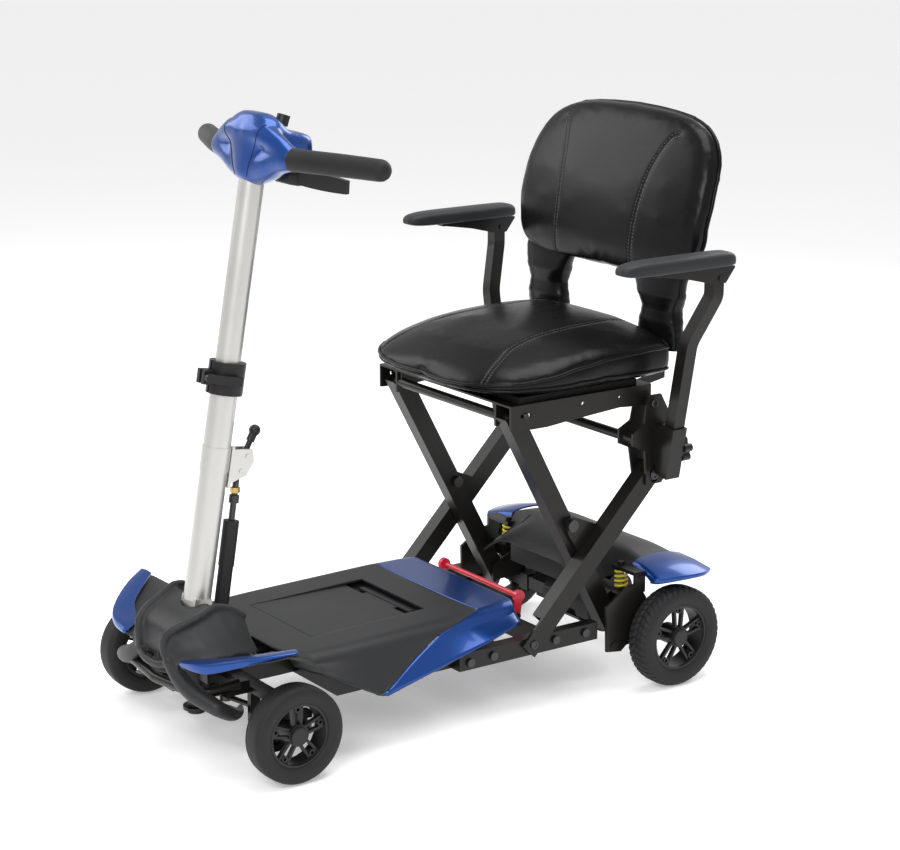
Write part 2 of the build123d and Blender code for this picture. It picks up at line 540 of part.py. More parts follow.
def front_covers():
    """Charcoal front shroud with its two wings, and the blue panels on them."""
    upper = plan([(86, -554), (148, -547), (246, -441), (238, -396), (196, -378), (96, -402), (84, -470)],
                 100, 240)
    slope = loft([yz_face([(-600, 154), (-360, 158), (-360, 164), (-600, 160)], 60),
                  yz_face([(-600, 196), (-360, 204), (-360, 210), (-600, 202)], 260)], ruled=True)
    wing = upper & slope
    wall = slab([(-539, 150), (-513, 236), (-497, 258), (-447, 224), (-447, 172), (-470, 160)], 40, 116)
    pocket = slab([(-520, 150), (-503, 232), (-494, 250), (-453, 222), (-453, 150)], 44, 110)
    nose = slab([(-540, 150), (-514, 236), (-508, 236), (-532, 150)], -40, 40)
    chin = slab([(-540, 150), (-532, 150), (-515, 112), (-528, 108)], -60, 60)
    leg = both(slab([(-541, 152), (-531, 152), (-515, 106), (-528, 104)], 40, 150))
    shroud = both(wall - pocket) + nose + both(wing) + chin + leg
    shroud -= box((-37, 37), (-507, -380), (140, 300))
    blue_outline = [(88, -553), (148, -546), (245, -441), (222, -437), (150, -508), (100, -522)]
    blue = (plan(blue_outline, 100, 240) & (Pos(0, 0, 6.0) * slope))
    parts["front_fenders"] = both(blue)
    parts["front_shroud"] = shroud - both(blue) - parts["front_bumper"]


# ---- scissor frame --------------------------------------------------------------
def scissor():
    """Inner and outer arms of both sides with their pivot pins."""
    pin_y, pin_z = SCISSOR_PIN
    bush = 10.0
    arm_a = square_tube(A_TOP, A_BASE, ARM_A_X, TUBE_D, 14, 15)
    for spot in (A_TOP, SCISSOR_PIN, A_BASE):
        arm_a += across(*ARM_A_X, spot, bush)
        arm_a -= across(ARM_A_X[0] - 1, ARM_A_X[1] + 1, spot, SCISSOR_PIN_R + RUN)
    parts["inner_arms"] = both(arm_a)

    axis_end = B_TOP
    ear_x = (ARM_B_X[1] - PLATE, ARM_B_X[1])
    tube = square_tube(B_BASE, axis_end, ARM_B_X, TUBE_D, -40, 14)
    ear = bar(B_BASE, axis_end, ear_x, TUBE_D, 15, -200) + across(*ear_x, B_BASE, TUBE_D / 2)
    crown = across(*ARM_B_X, B_TOP, bush)
    run_angle = degrees(atan2(B_TOP[1] - B_BASE[1], B_TOP[0] - B_BASE[0]))
    lug_foot = plus(B_BASE, run_angle, 165)
    lug_head = plus(B_BASE, run_angle, 225)
    lug = slab([plus(lug_foot, run_angle + 90, 12), plus(SCISSOR_PIN, run_angle + 200, 15),
                plus(SCISSOR_PIN, run_angle + 90, 15), plus(SCISSOR_PIN, run_angle + 10, 15),
                plus(lug_head, run_angle + 90, 12)], ARM_B_X[0], ARM_B_X[0] + 6)
    arm_b = tube + ear + crown + lug
    arm_b -= across(ear_x[0] - 1, ear_x[1] + 2, B_BASE, SCISSOR_PIN_R + RUN)
    arm_b -= across(ARM_B_X[0] - 1, ARM_B_X[1] + 1, B_TOP, SCISSOR_PIN_R + RUN)
    arm_b -= across(ARM_B_X[0] - 1, ARM_B_X[0] + 7, SCISSOR_PIN, SCISSOR_PIN_R)
    parts["outer_arms"] = both(arm_b)

    bolt = across(ARM_A_X[0] - 4, ARM_B_X[0] + 6, SCISSOR_PIN, SCISSOR_PIN_R)
    bolt += across(ARM_B_X[0] + 6, ARM_B_X[0] + 13, SCISSOR_PIN, 10)
    bolt += across(ARM_A_X[0] - 8, ARM_A_X[0] - GAP, SCISSOR_PIN, 9)
    bolt += across(ARM_B_X[0] - GAP - 7, ARM_B_X[1] + GAP + 3.5, B_TOP, SCISSOR_PIN_R)
    parts["scissor_pins"] = both(bolt)


# ---- rear unit ------------------------------------------------------------------
def rear_unit():
    """Rear frame, covers, swing arm with drive unit, springs."""
    plate = slab([(170, 70), (168, 148), (206, 172), (234, 178), (252, 150), (236, 96), (200, 66)],
                 *SIDE_PLATE_X)
    plate -= across(SIDE_PLATE_X[0] - 1, SIDE_PLATE_X[1] + 1, SWING_PIVOT, 5)
    beam = (234.0, 250.0)
    inner_x = (ARM_A_X[0] - 2 * GAP - PLATE, ARM_A_X[0] - 2 * GAP)
    inner = slab([(A_BASE[0] - 14, 98), (A_BASE[0] - 14, 126), (beam[0], 146), (beam[1], 146),
                  (beam[1], 98)], *inner_x)
    pivot = across(inner_x[0], ARM_A_X[1] + 1, A_BASE, SCISSOR_PIN_R)
    top_tab = box((SPRING_X - 12, SIDE_PLATE_X[1]), (SPRING_Y - 11, SPRING_Y + 11),
                  (SPRING_Z[1], SPRING_Z[1] + 6))
    tab_web = box(SIDE_PLATE_X, (SPRING_Y - 11, SPRING_Y + 11), (160, SPRING_Z[1] + 6))
    stud = rod((SPRING_X, SPRING_Y, SPRING_Z[1] - 8), (SPRING_X, SPRING_Y, SPRING_Z[1] + 12), 5.5)
    frame = both(plate + inner + pivot + top_tab + tab_web + stud)
    frame += box((-SIDE_PLATE_X[1], SIDE_PLATE_X[1]), beam, (128, 146))
    frame += both(across(SWING_X[0] - 3, SIDE_PLATE_X[1] + 0, SWING_PIVOT, 5)
                  + across(SIDE_PLATE_X[0], SIDE_PLATE_X[1] + 2, SWING_PIVOT, 8))
    post = both(box((60, 76), beam, (140, 212.3)))
    parts["rear_frame"] = frame + post

    link = bar(SWING_PIVOT, (REAR_AXLE_Y, REAR_R), SWING_X, 15, 8, 12)
    link -= across(SWING_X[0] - 1, SWING_X[1] + 1, SWING_PIVOT, 5 + RUN)
    perch = box((SPRING_X - 10, SPRING_X + 10), (SPRING_Y - 11, 268), (SPRING_Z[0] - 5, SPRING_Z[0]))
    perch += box((SPRING_X - 10, SPRING_X + 10), (257, 268), (90, SPRING_Z[0]))
    perch += rod((SPRING_X, SPRING_Y, SPRING_Z[0] - 5), (SPRING_X, SPRING_Y, SPRING_Z[0] + 8), 5.5)
    swing = both(link + perch + across(150, REAR_STUB_X, (REAR_AXLE_Y, REAR_R), AXLE_R))
    swing += box((-SWING_X[1], SWING_X[1]), (258, 270), (74, 96))
    housing = both(box((126, 150), (256, REAR_AXLE_Y + 14), (70, 99)))
    swing += housing
    parts["swing_arm"] = swing

    axle = (REAR_AXLE_Y, REAR_R)
    motor = across(-125, 125, axle, 22) + across(-70, 24, axle, 41) + across(24, 60, axle, 44)
    motor += across(-118, -70, axle, 30)
    motor += across(-60, 40, (REAR_AXLE_Y + 40, REAR_R + 18), 30)
    parts["drive_motor"] = motor - box((-SWING_X[1], SWING_X[1]), (250, 270.3), (60, 96.3))

    pitch = (SPRING_Z[1] - SPRING_Z[0] - 2 * WIRE_R - 1) / SPRING_TURNS
    coil = Helix(pitch, SPRING_Z[1] - SPRING_Z[0] - 2 * WIRE_R - 1, SPRING_R)
    wire = sweep(Plane(origin=coil @ 0, z_dir=coil % 0) * Circle(WIRE_R), path=coil, is_frenet=True)
    parts["coil_springs"] = both(Pos(SPRING_X, SPRING_Y, SPRING_Z[0] + WIRE_R + 0.5) * wire)

    top = [(COVER_FRONT_Y, 150), (COVER_FRONT_Y, 196), (206, 212), (262, 220), (324, 212),
           (362, 196), (COVER_REAR_Y, 170)]
    body = slab(top, -COVER_HALF, COVER_HALF)
    wide = slab([(244, 186), (262, 205), (324, 203), (362, 194), (368, 186)], -206, 206)
    outer = body + wide
    inner_cut = slab([(COVER_FRONT_Y + COVER, 140), (COVER_FRONT_Y + COVER, 194), (206, 208.5),
                      (262, 216.5), (324, 208.5), (360, 193), (COVER_REAR_Y - COVER, 168),
                      (COVER_REAR_Y - COVER, 140)], -COVER_HALF + COVER, COVER_HALF - COVER)
    wide_cut = slab([(247, 180), (264, 201.5), (324, 199.5), (360, 191), (365, 180)], -203, 203)
    shell = outer - inner_cut - wide_cut
    clear = both(box((SPRING_X - 16, 240), (200, SPRING_Y + 12), (100, 240)))
    shell = shell - clear
    fender = plan([(150, 252), (232, SPRING_Y + 12), (250, 260), (252, 352), (238, 366), (176, 362)],
                  184, 214)
    bowl = slab([(240, 186), (240, 190), (262, 205.5), (324, 205), (368, 192), (368, 188),
                 (324, 200.6), (262, 201)], 140, 256)
    blue = fender & bowl
    parts["rear_fenders"] = both(blue)
    parts["rear_cover"] = shell - both(blue)
    parts["controller_box"] = box((-78, 78), (184, beam[0] - 0.3), (152, 190))


# ---- seat -----------------------------------------------------------------------
def seat():
    """Folded seat frame, board, cushion and the folding backrest."""
    y0, y1 = SEAT_FRAME_Y
    side_x = (SEAT_FRAME_X - 4, SEAT_FRAME_X)
    side = slab([(y0, SEAT_FRAME_TOP), (y0, 467), (30, 464), (60, 464), (93, 467), (205, 475),
                 (y1, 470), (y1, SEAT_FRAME_TOP)], *side_x)
    side -= bar((6, 488), (26, 488), (SEAT_FRAME_X - 6, SEAT_FRAME_X + 2), 6)
    side -= across(SEAT_FRAME_X - 6, SEAT_FRAME_X + 2, (130, 492), 3)
    side -= across(SEAT_FRAME_X - 6, SEAT_FRAME_X + 2, (205, 492), 2.5)
    frame = both(side)
    frame += box((-SEAT_FRAME_X, SEAT_FRAME_X), (y0, y1), (SEAT_FRAME_TOP - 3, SEAT_FRAME_TOP))
    frame += both(across(ARM_A_X[0] - 3, SEAT_FRAME_X - 2, A_TOP, SCISSOR_PIN_R))
    hanger_y = (A_TOP[0] - 19, A_TOP[0] + 19)
    frame += both(box((ARM_A_X[0] - 6, ARM_A_X[0] - 2 * GAP), hanger_y, (466, SEAT_FRAME_TOP - 2)))
    frame += across(-ARM_A_X[0] + 2, ARM_A_X[0] - 2, (-2, 482), 8)
    frame += both(box((130, 140), (-6, 6), (476, SEAT_FRAME_TOP - 2)))
    hinge_y, hinge_z = BACK_HINGE
    ear = slab([(y1 - 6, SEAT_FRAME_TOP - 2), (y1, SEAT_FRAME_TOP - 14), (hinge_y + 9, SEAT_FRAME_TOP - 4),
                (hinge_y + 9, hinge_z + 9), (hinge_y - 9, hinge_z + 9), (hinge_y - 9, SEAT_FRAME_TOP + 8)],
               148, 153)
    frame += both(ear + across(140, 153, BACK_HINGE, 5))
    frame += both(across(172.5 + GAP, SEAT_FRAME_X - 2, SEAT_PIN, SCISSOR_PIN_R)
                  + across(SEAT_FRAME_X - 2, 208, SEAT_PIN, SCISSOR_PIN_R))
    parts["seat_frame"] = frame

    z0 = SEAT_FRAME_TOP
    parts["seat_board"] = box((-178, 178), (10, 246), (z0, z0 + BOARD_T))
    base = z0 + BOARD_T
    outline = [(-196, CUSHION_Y[1]), (-CUSHION_HALF, 180), (-CUSHION_HALF, 60), (-200, 0), (-150, -44),
               (-80, CUSHION_Y[0]), (80, CUSHION_Y[0]), (150, -44), (200, 0), (CUSHION_HALF, 60),
               (CUSHION_HALF, 180), (196, CUSHION_Y[1])]
    profile = slab([(CUSHION_Y[0], 516), (-30, base + 0.3), (CUSHION_Y[1], base + 0.3),
                    (CUSHION_Y[1], 586), (262, 606), (60, 603), (-10, 576), (CUSHION_Y[0], 534)], -240, 240)
    parts["seat_cushion"] = plan(outline, 500, 620) & profile

    def on_back(z, behind):
        pairs = list(zip(BACK_FRONT, BACK_FRONT[1:]))
        (y_low, z_low), (y_high, z_high) = next((p for p in pairs if z <= p[1][1]), pairs[-1])
        return (y_low + (z - z_low) * (y_high - y_low) / (z_high - z_low) + behind, z)

    shell = make_face(Polyline(
        (-160, BACK_Z[0]), (-BACK_HALF + 9, BACK_Z[0] + 36), (-BACK_HALF, 770), (-BACK_HALF + 20, 850),
        (-160, 906), (-80, BACK_Z[1]), (80, BACK_Z[1]), (160, 906), (BACK_HALF - 20, 850),
        (BACK_HALF, 770), (BACK_HALF - 9, BACK_Z[0] + 36), (160, BACK_Z[0]), close=True))
    block = Plane(origin=(0, 500, 0), x_dir=(1, 0, 0), z_dir=(0, -1, 0)) * shell
    block = extrude(block, amount=400, dir=(0, -1, 0))
    heights = [BACK_Z[0] - 4, *(z for _, z in BACK_FRONT[1:-1]), BACK_Z[1] + 4]
    pad = slab([on_back(z, 0) for z in heights] + [on_back(z, BACK_T) for z in reversed(heights)], -240, 240)
    parts["back_cushion"] = block & pad

    stay = slab([(hinge_y - 9, hinge_z - 8), (hinge_y + 9, hinge_z - 8), (hinge_y + 14, 640),
                 on_back(BACK_Z[0] - 0.5, 34), on_back(BACK_Z[0] - 0.5, 12), (hinge_y - 12, 640)], 141, 147)
    heights = [BACK_Z[0] - 8, BACK_FRONT[1][1], BACK_FRONT[2][1] - 5]
    plate = slab([on_back(z, BACK_T + 0.3) for z in heights]
                 + [on_back(z, BACK_T + 4.3) for z in reversed(heights)], -160, 160)
    plate += both(slab([on_back(BACK_Z[0] - 0.5, 12), (hinge_y + 12, 640), (hinge_y + 36, 640),
                        on_back(BACK_Z[0] - 8, BACK_T + 4.3), on_back(BACK_Z[0] - 0.5, BACK_T)], 141, 147))
    stay = both(stay - across(130, 150, BACK_HINGE, 5 + RUN))
    parts["back_frame"] = stay + plate

    wrap = slab([(hinge_y - 18, hinge_z + 22), (hinge_y + 18, hinge_z + 22),
                 on_back(BACK_Z[0] - 1, 44), on_back(BACK_Z[0] - 1, 4)], 118, 186)
    hollow = slab([(0, 500), (500, 500), (500, 700), (0, 700)], 140.6, 147.4)
    parts["back_cushion"] += both(wrap - hollow)
    low_wrap = slab([(hinge_y - 20, 524), (hinge_y + 14, 530), (hinge_y + 14, hinge_z - 14),
                     (hinge_y - 20, hinge_z - 18)], 118, 178)
    low_hollow = slab([(0, 500), (500, 500), (500, 700), (0, 700)], 147.8, 153.2)
    parts["seat_cushion"] += both(low_wrap - low_hollow)


def armrests():
    """Rear links with post sleeves, height posts, star knobs and flip-up pads."""
    outer_x = (ARM_B_X[1] + GAP, ARM_B_X[1] + GAP + 4)
    inner_x = (ARM_B_X[0] - GAP - 4, ARM_B_X[0] - GAP)
    outer = slab([(248, 492), (276, 492), (296, 456), (296, 362), (280, 342), (248, 342), (244, 400),
                  (218, 412), (218, 432), (242, 446)], *outer_x)
    inner = slab([(250, 492), (274, 492), (280, 420), (280, 342), (248, 342), (238, 400),
                  (216, 410), (216, 434), (240, 446)], *inner_x)
    link = both(outer + inner) + across(-outer_x[0] - 2, outer_x[0] + 2, (228, 421), 8)
    slot_r = SCISSOR_PIN_R + LINK_PLAY[0]
    slot_ends = [(B_TOP[0], B_TOP[1] + side * LINK_PLAY[1]) for side in (-1, 1)]
    reach = (160, outer_x[1] + 2)
    slot = bar(*slot_ends, reach, 2 * slot_r)
    slot += across(*reach, slot_ends[0], slot_r) + across(*reach, slot_ends[1], slot_r)

    foot, knee, shoulder, top = (Vector(*p) for p in (POST_FOOT, POST_KNEE, POST_BEND, POST_TOP))
    lower_dir = (knee - foot).normalized()
    square = Plane(origin=foot, x_dir=(0, 1, 0), z_dir=lower_dir)
    sleeve_height = 88.0
    wall = POST_SIDE + 0.6 + 2 * SLEEVE_WALL
    sleeve = square * Pos(0, 0, -14) * Box(wall, wall, sleeve_height, align=LOW)
    filler = box((outer_x[0] + 1, 226), (foot.Y - 13, foot.Y + 13), (374, 440))
    bore = square * Pos(0, 0, -60) * Box(POST_SIDE + 0.6, POST_SIDE + 0.6, 300, align=LOW)
    sleeve_solid = sleeve + filler
    link += both(sleeve_solid)
    link -= both(bore + slot + across(*reach, SEAT_PIN, SCISSOR_PIN_R + RUN))
    knob_plane = Plane(origin=foot + lower_dir * 30, x_dir=(0, 0, 1), z_dir=(0, 1, 0))
    link -= both(knob_plane * Cylinder(4.5, 60, align=LOW))
    parts["rear_links"] = link

    half_side = POST_SIDE / 2
    section = Plane(origin=foot, x_dir=(0, 1, 0), z_dir=lower_dir) * Rectangle(POST_SIDE, POST_SIDE)
    path = FilletPolyline(tuple(foot), tuple(knee), tuple(shoulder), tuple(top), radius=(60, 30))
    post = sweep(section, path=path, transition=Transition.RIGHT)
    hinge = (top.Y, top.Z)
    post += across(top.X - half_side, top.X + half_side, hinge, half_side)
    post -= across(top.X - 20, top.X + 20, hinge, 4 + RUN)
    parts["armrest_post_left"] = post
    parts["armrest_post_right"] = far(post)

    cheek = slab([(hinge[0] - 12, hinge[1] - 9), (hinge[0] + 12, hinge[1] - 9),
                  (hinge[0] + 30, hinge[1] + 14), (PAD_FRONT_Y + 70, hinge[1] + 14),
                  (PAD_FRONT_Y + 130, hinge[1] + 4)], top.X + half_side + GAP, top.X + half_side + GAP + 3)
    other = Pos(-(POST_SIDE + 2 * GAP + 3), 0, 0) * cheek
    shelf = box((top.X - half_side - GAP - 3, top.X + half_side + GAP + 3),
                (PAD_FRONT_Y + 70, hinge[0] + 30), (hinge[1] + 13, hinge[1] + 17))
    bracket = cheek + other + shelf + across(top.X - half_side - 6, top.X + half_side + 6, hinge, 4)
    parts["armrest_bracket_left"] = bracket
    parts["armrest_bracket_right"] = far(bracket)

    z = hinge[1] + 17
    pad = Pos(top.X, PAD_FRONT_Y + PAD_LENGTH / 2, z + PAD_T / 2) * Box(PAD_WIDTH, PAD_LENGTH, PAD_T)
    pad = fillet(pad.edges().group_by(Axis.Z)[-1], 9)
    parts["armrest_pad_left"] = pad
    parts["armrest_pad_right"] = far(pad)

    knob_y = (POST_SIDE + 0.6) / 2 + SLEEVE_WALL
    screw = knob_plane * Pos(0, 0, half_side + 0.3) * Cylinder(4.0, knob_y - half_side + 6, align=LOW)
    petals = Circle(13)
    for number in range(5):
        petals += Rot(0, 0, 72 * number) * Pos(14, 0) * Circle(6.5)
    grip = knob_plane * Pos(0, 0, knob_y + 1) * extrude(petals, amount=15)
    parts["star_knob_left"] = grip + screw
    parts["star_knob_right"] = far(grip + screw)


# ---- build and export -----------------------------------------------------------
for make in (wheels, steering, tiller, tiller_head, front_frame, deck, front_covers, scissor,
             rear_unit, seat, armrests):
    make()

boxes = [shape.bounding_box() for shape in parts.values()]
middle_y = round((min(b.min.Y for b in boxes) + max(b.max.Y for b in boxes)) / 2, 1)
os.makedirs("parts", exist_ok=True)
for name, shape in parts.items():
    export_step(Pos(0, -middle_y, 0) * shape, f"parts/{name}.step")
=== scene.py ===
"""Looks of the folding mobility scooter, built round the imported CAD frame.

Shapes below are given in millimetres: x to the rider's left, y backwards from the
lower hinge of the scissor arms, z up from the ground. at() turns them into the frame.
"""
import json
from math import cos, pi, sin

import bpy
import bmesh
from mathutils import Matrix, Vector
from mathutils.bvhtree import BVHTree


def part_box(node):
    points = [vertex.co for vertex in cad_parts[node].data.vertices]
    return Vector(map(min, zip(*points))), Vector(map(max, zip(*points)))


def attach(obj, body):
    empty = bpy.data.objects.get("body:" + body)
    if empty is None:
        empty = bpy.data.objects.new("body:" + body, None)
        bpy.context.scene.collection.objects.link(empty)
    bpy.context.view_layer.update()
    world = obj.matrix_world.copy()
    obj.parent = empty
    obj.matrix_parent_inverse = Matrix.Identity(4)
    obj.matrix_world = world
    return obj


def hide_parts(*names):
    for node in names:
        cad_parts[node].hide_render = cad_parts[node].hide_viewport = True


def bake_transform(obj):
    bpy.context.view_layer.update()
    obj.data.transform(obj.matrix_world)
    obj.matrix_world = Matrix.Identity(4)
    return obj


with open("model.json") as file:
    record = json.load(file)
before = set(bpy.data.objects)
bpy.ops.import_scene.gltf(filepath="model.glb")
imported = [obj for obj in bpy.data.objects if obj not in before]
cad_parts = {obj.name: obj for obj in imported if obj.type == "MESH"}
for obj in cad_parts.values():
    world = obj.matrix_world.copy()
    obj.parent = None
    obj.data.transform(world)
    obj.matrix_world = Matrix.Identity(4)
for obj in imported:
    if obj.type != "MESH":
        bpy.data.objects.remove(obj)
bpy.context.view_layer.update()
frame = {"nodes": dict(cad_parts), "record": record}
scene = bpy.context.scene

low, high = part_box("front_tyre_left")
SHIFT = 1000 * (low[1] + high[1]) / 2 + 445.0      # the frame's y of the scissor hinge line


def at(x, y, z):
    """A point in millimetres as a point of the frame, in metres."""
    return Vector((x / 1000, (y + SHIFT) / 1000, z / 1000))


# ---- materials -------------------------------------------------------------------
def material(name, color, rough, metal=0.0, coat=0.0, spread=0.06, grain=(400.0, 0.15, 0.0002),
             mottled=0.12, cells=False, sheen=0.0, spec=0.5):
    """A procedural finish: colour and roughness vary a little, and a fine bump gives grain."""
    made = bpy.data.materials.new(name)
    made.use_nodes = True
    nodes, links = made.node_tree.nodes, made.node_tree.links
    shader = nodes["Principled BSDF"]
    shader.inputs["Metallic"].default_value = metal
    shader.inputs["Coat Weight"].default_value = coat
    shader.inputs["Coat Roughness"].default_value = 0.08
    shader.inputs["Sheen Weight"].default_value = sheen
    shader.inputs["Specular IOR Level"].default_value = spec
    where = nodes.new("ShaderNodeTexCoord")
    cloud = nodes.new("ShaderNodeTexNoise")
    cloud.inputs["Scale"].default_value = 14.0
    cloud.inputs["Detail"].default_value = 5.0
    links.new(where.outputs["Object"], cloud.inputs["Vector"])
    tint = nodes.new("ShaderNodeMix")
    tint.data_type = "RGBA"
    dark = [c * (1 - mottled) for c in color]
    light = [min(1.0, c * (1 + mottled)) for c in color]
    tint.inputs[6].default_value = (*dark, 1)
    tint.inputs[7].default_value = (*light, 1)
    links.new(cloud.outputs["Fac"], tint.inputs[0])
    links.new(tint.outputs[2], shader.inputs["Base Color"])
    level = nodes.new("ShaderNodeMapRange")
    level.inputs["To Min"].default_value = max(0.02, rough - spread)
    level.inputs["To Max"].default_value = rough + spread
    links.new(cloud.outputs["Fac"], level.inputs["Value"])
    links.new(level.outputs["Result"], shader.inputs["Roughness"])
    scale, strength, distance = grain
    fine = nodes.new("ShaderNodeTexVoronoi" if cells else "ShaderNodeTexNoise")
    fine.inputs["Scale"].default_value = scale
    links.new(where.outputs["Object"], fine.inputs["Vector"])
    bump = nodes.new("ShaderNodeBump")
    bump.inputs["Strength"].default_value = strength
    bump.inputs["Distance"].default_value = distance
    links.new(fine.outputs["Distance" if cells else "Fac"], bump.inputs["Height"])
    links.new(bump.outputs["Normal"], shader.inputs["Normal"])
    return made


FINISH = {
    "satin_silver": material("satin silver", (0.60, 0.59, 0.565), 0.36, 0.85, mottled=0.03,
                             grain=(900, 0.12, 0.0001)),
    "frame_black": material("frame black", (0.0080, 0.0070, 0.0060), 0.34, spec=0.27, coat=0.04,
                            grain=(700, 0.12, 0.0001)),
    "cast_black": material("cast black", (0.014, 0.014, 0.015), 0.55, spec=0.3, grain=(500, 0.4, 0.0003)),
    "cover_charcoal": material("cover charcoal", (0.020, 0.0205, 0.022), 0.48, spec=0.32,
                               grain=(1300, 0.35, 0.0002), cells=True),
    "metallic_blue": material("metallic blue", (0.0014, 0.047, 0.245), 0.29, 0.60, 0.35, 0.03,
                              (2600, 0.06, 0.0001), 0.08),
    "tyre_black": material("tyre rubber", (0.0125, 0.0125, 0.013), 0.6, spec=0.3, grain=(600, 0.4, 0.0003)),
    "rim_black": material("rim black", (0.0105, 0.0105, 0.011), 0.4, spec=0.35, grain=(900, 0.25, 0.0002)),
    "leather_black": material("black leather", (0.0040, 0.0040, 0.0043), 0.26, spec=0.17,
                              grain=(620, 0.3, 0.0003), cells=True, spread=0.07),
    "pad_black": material("moulded pad", (0.0145, 0.0155, 0.018), 0.5, spec=0.3, grain=(1100, 0.3, 0.0002),
                          cells=True, sheen=0.05),
    "grip_black": material("grip foam", (0.009, 0.009, 0.009), 0.6, spec=0.25, grain=(900, 0.45, 0.0003),
                           sheen=0.06),
    "release_red": material("release red", (0.70, 0.008, 0.035), 0.33, coat=0.3, mottled=0.05),
    "spring_yellow": material("spring yellow", (0.80, 0.66, 0.01), 0.35, coat=0.3, mottled=0.08),
    "steel": material("dark steel", (0.06, 0.06, 0.062), 0.32, 0.9, grain=(1200, 0.2, 0.0001)),
    "black_plastic": material("black plastic", (0.008, 0.008, 0.009), 0.38, spec=0.35,
                              grain=(1000, 0.2, 0.0002)),
    "board": material("seat board", (0.008, 0.008, 0.008), 0.7, spec=0.2, grain=(300, 0.4, 0.0003)),
}
THREAD = material("stitch thread", (0.075, 0.075, 0.075), 0.6, grain=(2000, 0.3, 0.0001))
BRASS = material("brass nut", (0.50, 0.36, 0.12), 0.3, 0.9, grain=(900, 0.1, 0.0001))
SEAM = material("seam shadow", (0.004, 0.004, 0.004), 0.8)

slot_of = {s["node"]: s["material_slot"] for s in frame["record"]["subparts"]}
for name, node in frame["nodes"].items():
    node.data.materials.clear()
    node.data.materials.append(FINISH[slot_of[name]])


# ---- mesh helpers ----------------------------------------------------------------
def piece(name, points, faces, finish, body, stands_for=(), smooth=True):
    """A new mesh object riding on a body, with its material and the nodes it replaces."""
    mesh = bpy.data.meshes.new(name)
    mesh.from_pydata([tuple(p) for p in points], [], faces)
    made = bpy.data.objects.new(name, mesh)
    scene.collection.objects.link(made)
    work = bmesh.new()
    work.from_mesh(mesh)
    bmesh.ops.recalc_face_normals(work, faces=work.faces)
    work.to_mesh(mesh)
    work.free()
    if smooth:
        mesh.shade_smooth()
    mesh.materials.append(FINISH[finish] if isinstance(finish, str) else finish)
    if body:
        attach(made, body)
    if stands_for:
        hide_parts(*stands_for)
    return made


def skin(rings, closed=True, caps=True):
    """Points and faces of a surface through rings of equal length."""
    count = len(rings[0])
    points = [p for ring in rings for p in ring]
    faces = []
    for i in range(len(rings) - 1):
        for k in range(count if closed else count - 1):
            a, b = i * count + k, i * count + (k + 1) % count
            faces.append((a, b, b + count, a + count))
    if closed and caps:
        faces.append(tuple(range(count)))
        faces.append(tuple(len(points) - count + k for k in range(count)))
    return points, faces


def spline(points, steps):
    """A smooth run of points through the given ones."""
    out = []
    for i in range(len(points) - 1):
        before, start = points[max(i - 1, 0)], points[i]
        end, after = points[i + 1], points[min(i + 2, len(points) - 1)]
        for k in range(steps):
            t = k / steps
            out.append(tuple(0.5 * (2 * s + (e - b) * t + (2 * b - 5 * s + 4 * e - a) * t * t
                                    + (3 * s - b - 3 * e + a) * t ** 3)
                             for b, s, e, a in zip(before, start, end, after)))
    return out + [tuple(points[-1])]


def rings_along(path, radii, sides=24):
    """Round rings across a path of vectors."""
    rings = []
    side = None
    for i, spot in enumerate(path):
        run = (path[min(i + 1, len(path) - 1)] - path[max(i - 1, 0)]).normalized()
        if side is None:
            side = run.orthogonal().normalized()
        side = (side - run * side.dot(run)).normalized()
        up = run.cross(side)
        rings.append([spot + (side * cos(2 * pi * k / sides) + up * sin(2 * pi * k / sides)) * radii[i]
                      for k in range(sides)])
    return rings


def tube(points, radius, steps=6, sides=12, taper=None):
    """Points and faces of a round bar through millimetre points, with domed ends."""
    path = [at(*p) for p in spline(points, steps)]
    radii = [radius / 1000] * len(path) if taper is None else [
        r / 1000 for (r,) in spline([(t,) for t in taper], steps)]
    first, last = path[0], path[-1]
    back, ahead = (path[0] - path[1]).normalized(), (path[-1] - path[-2]).normalized()
    front_cap = [(first + back * radii[0] * sin(a), radii[0] * cos(a)) for a in (1.45, 1.1, 0.75, 0.38)]
    end_cap = [(last + ahead * radii[-1] * sin(a), radii[-1] * cos(a)) for a in (0.38, 0.75, 1.1, 1.45)]
    line = front_cap + list(zip(path, radii)) + end_cap
    return skin(rings_along([p for p, _ in line], [r for _, r in line], sides))


def join(*shapes):
    """Several (points, faces) as one."""
    points, faces = [], []
    for more, cells in shapes:
        faces += [tuple(i + len(points) for i in cell) for cell in cells]
        points += list(more)
    return points, faces


def mirrored(shape):
    """The shape with its mirror image."""
    points, faces = shape
    other = [Vector((-p[0], p[1], p[2])) for p in points]
    return join(shape, (other, [tuple(reversed(cell)) for cell in faces]))


def modify(made, kind, **settings):
    """Adds a modifier and sets it."""
    mod = made.modifiers.new(kind.lower(), kind)
    for key, value in settings.items():
        setattr(mod, key, value)
    return mod


def apply(made):
    """Applies all the object's modifiers to its mesh."""
    bpy.context.view_layer.update()
    graph = bpy.context.evaluated_depsgraph_get()
    mesh = bpy.data.meshes.new_from_object(made.evaluated_get(graph))
    made.modifiers.clear()
    made.data = mesh


def melt(made, voxel, rounds=8, factor=0.5):
    """Merges overlapping solids into one rounded form."""
    modify(made, "REMESH", mode="VOXEL", voxel_size=voxel, use_smooth_shade=True)
    apply(made)
    modify(made, "SMOOTH", iterations=rounds, factor=factor)
    apply(made)
    made.data.shade_smooth()


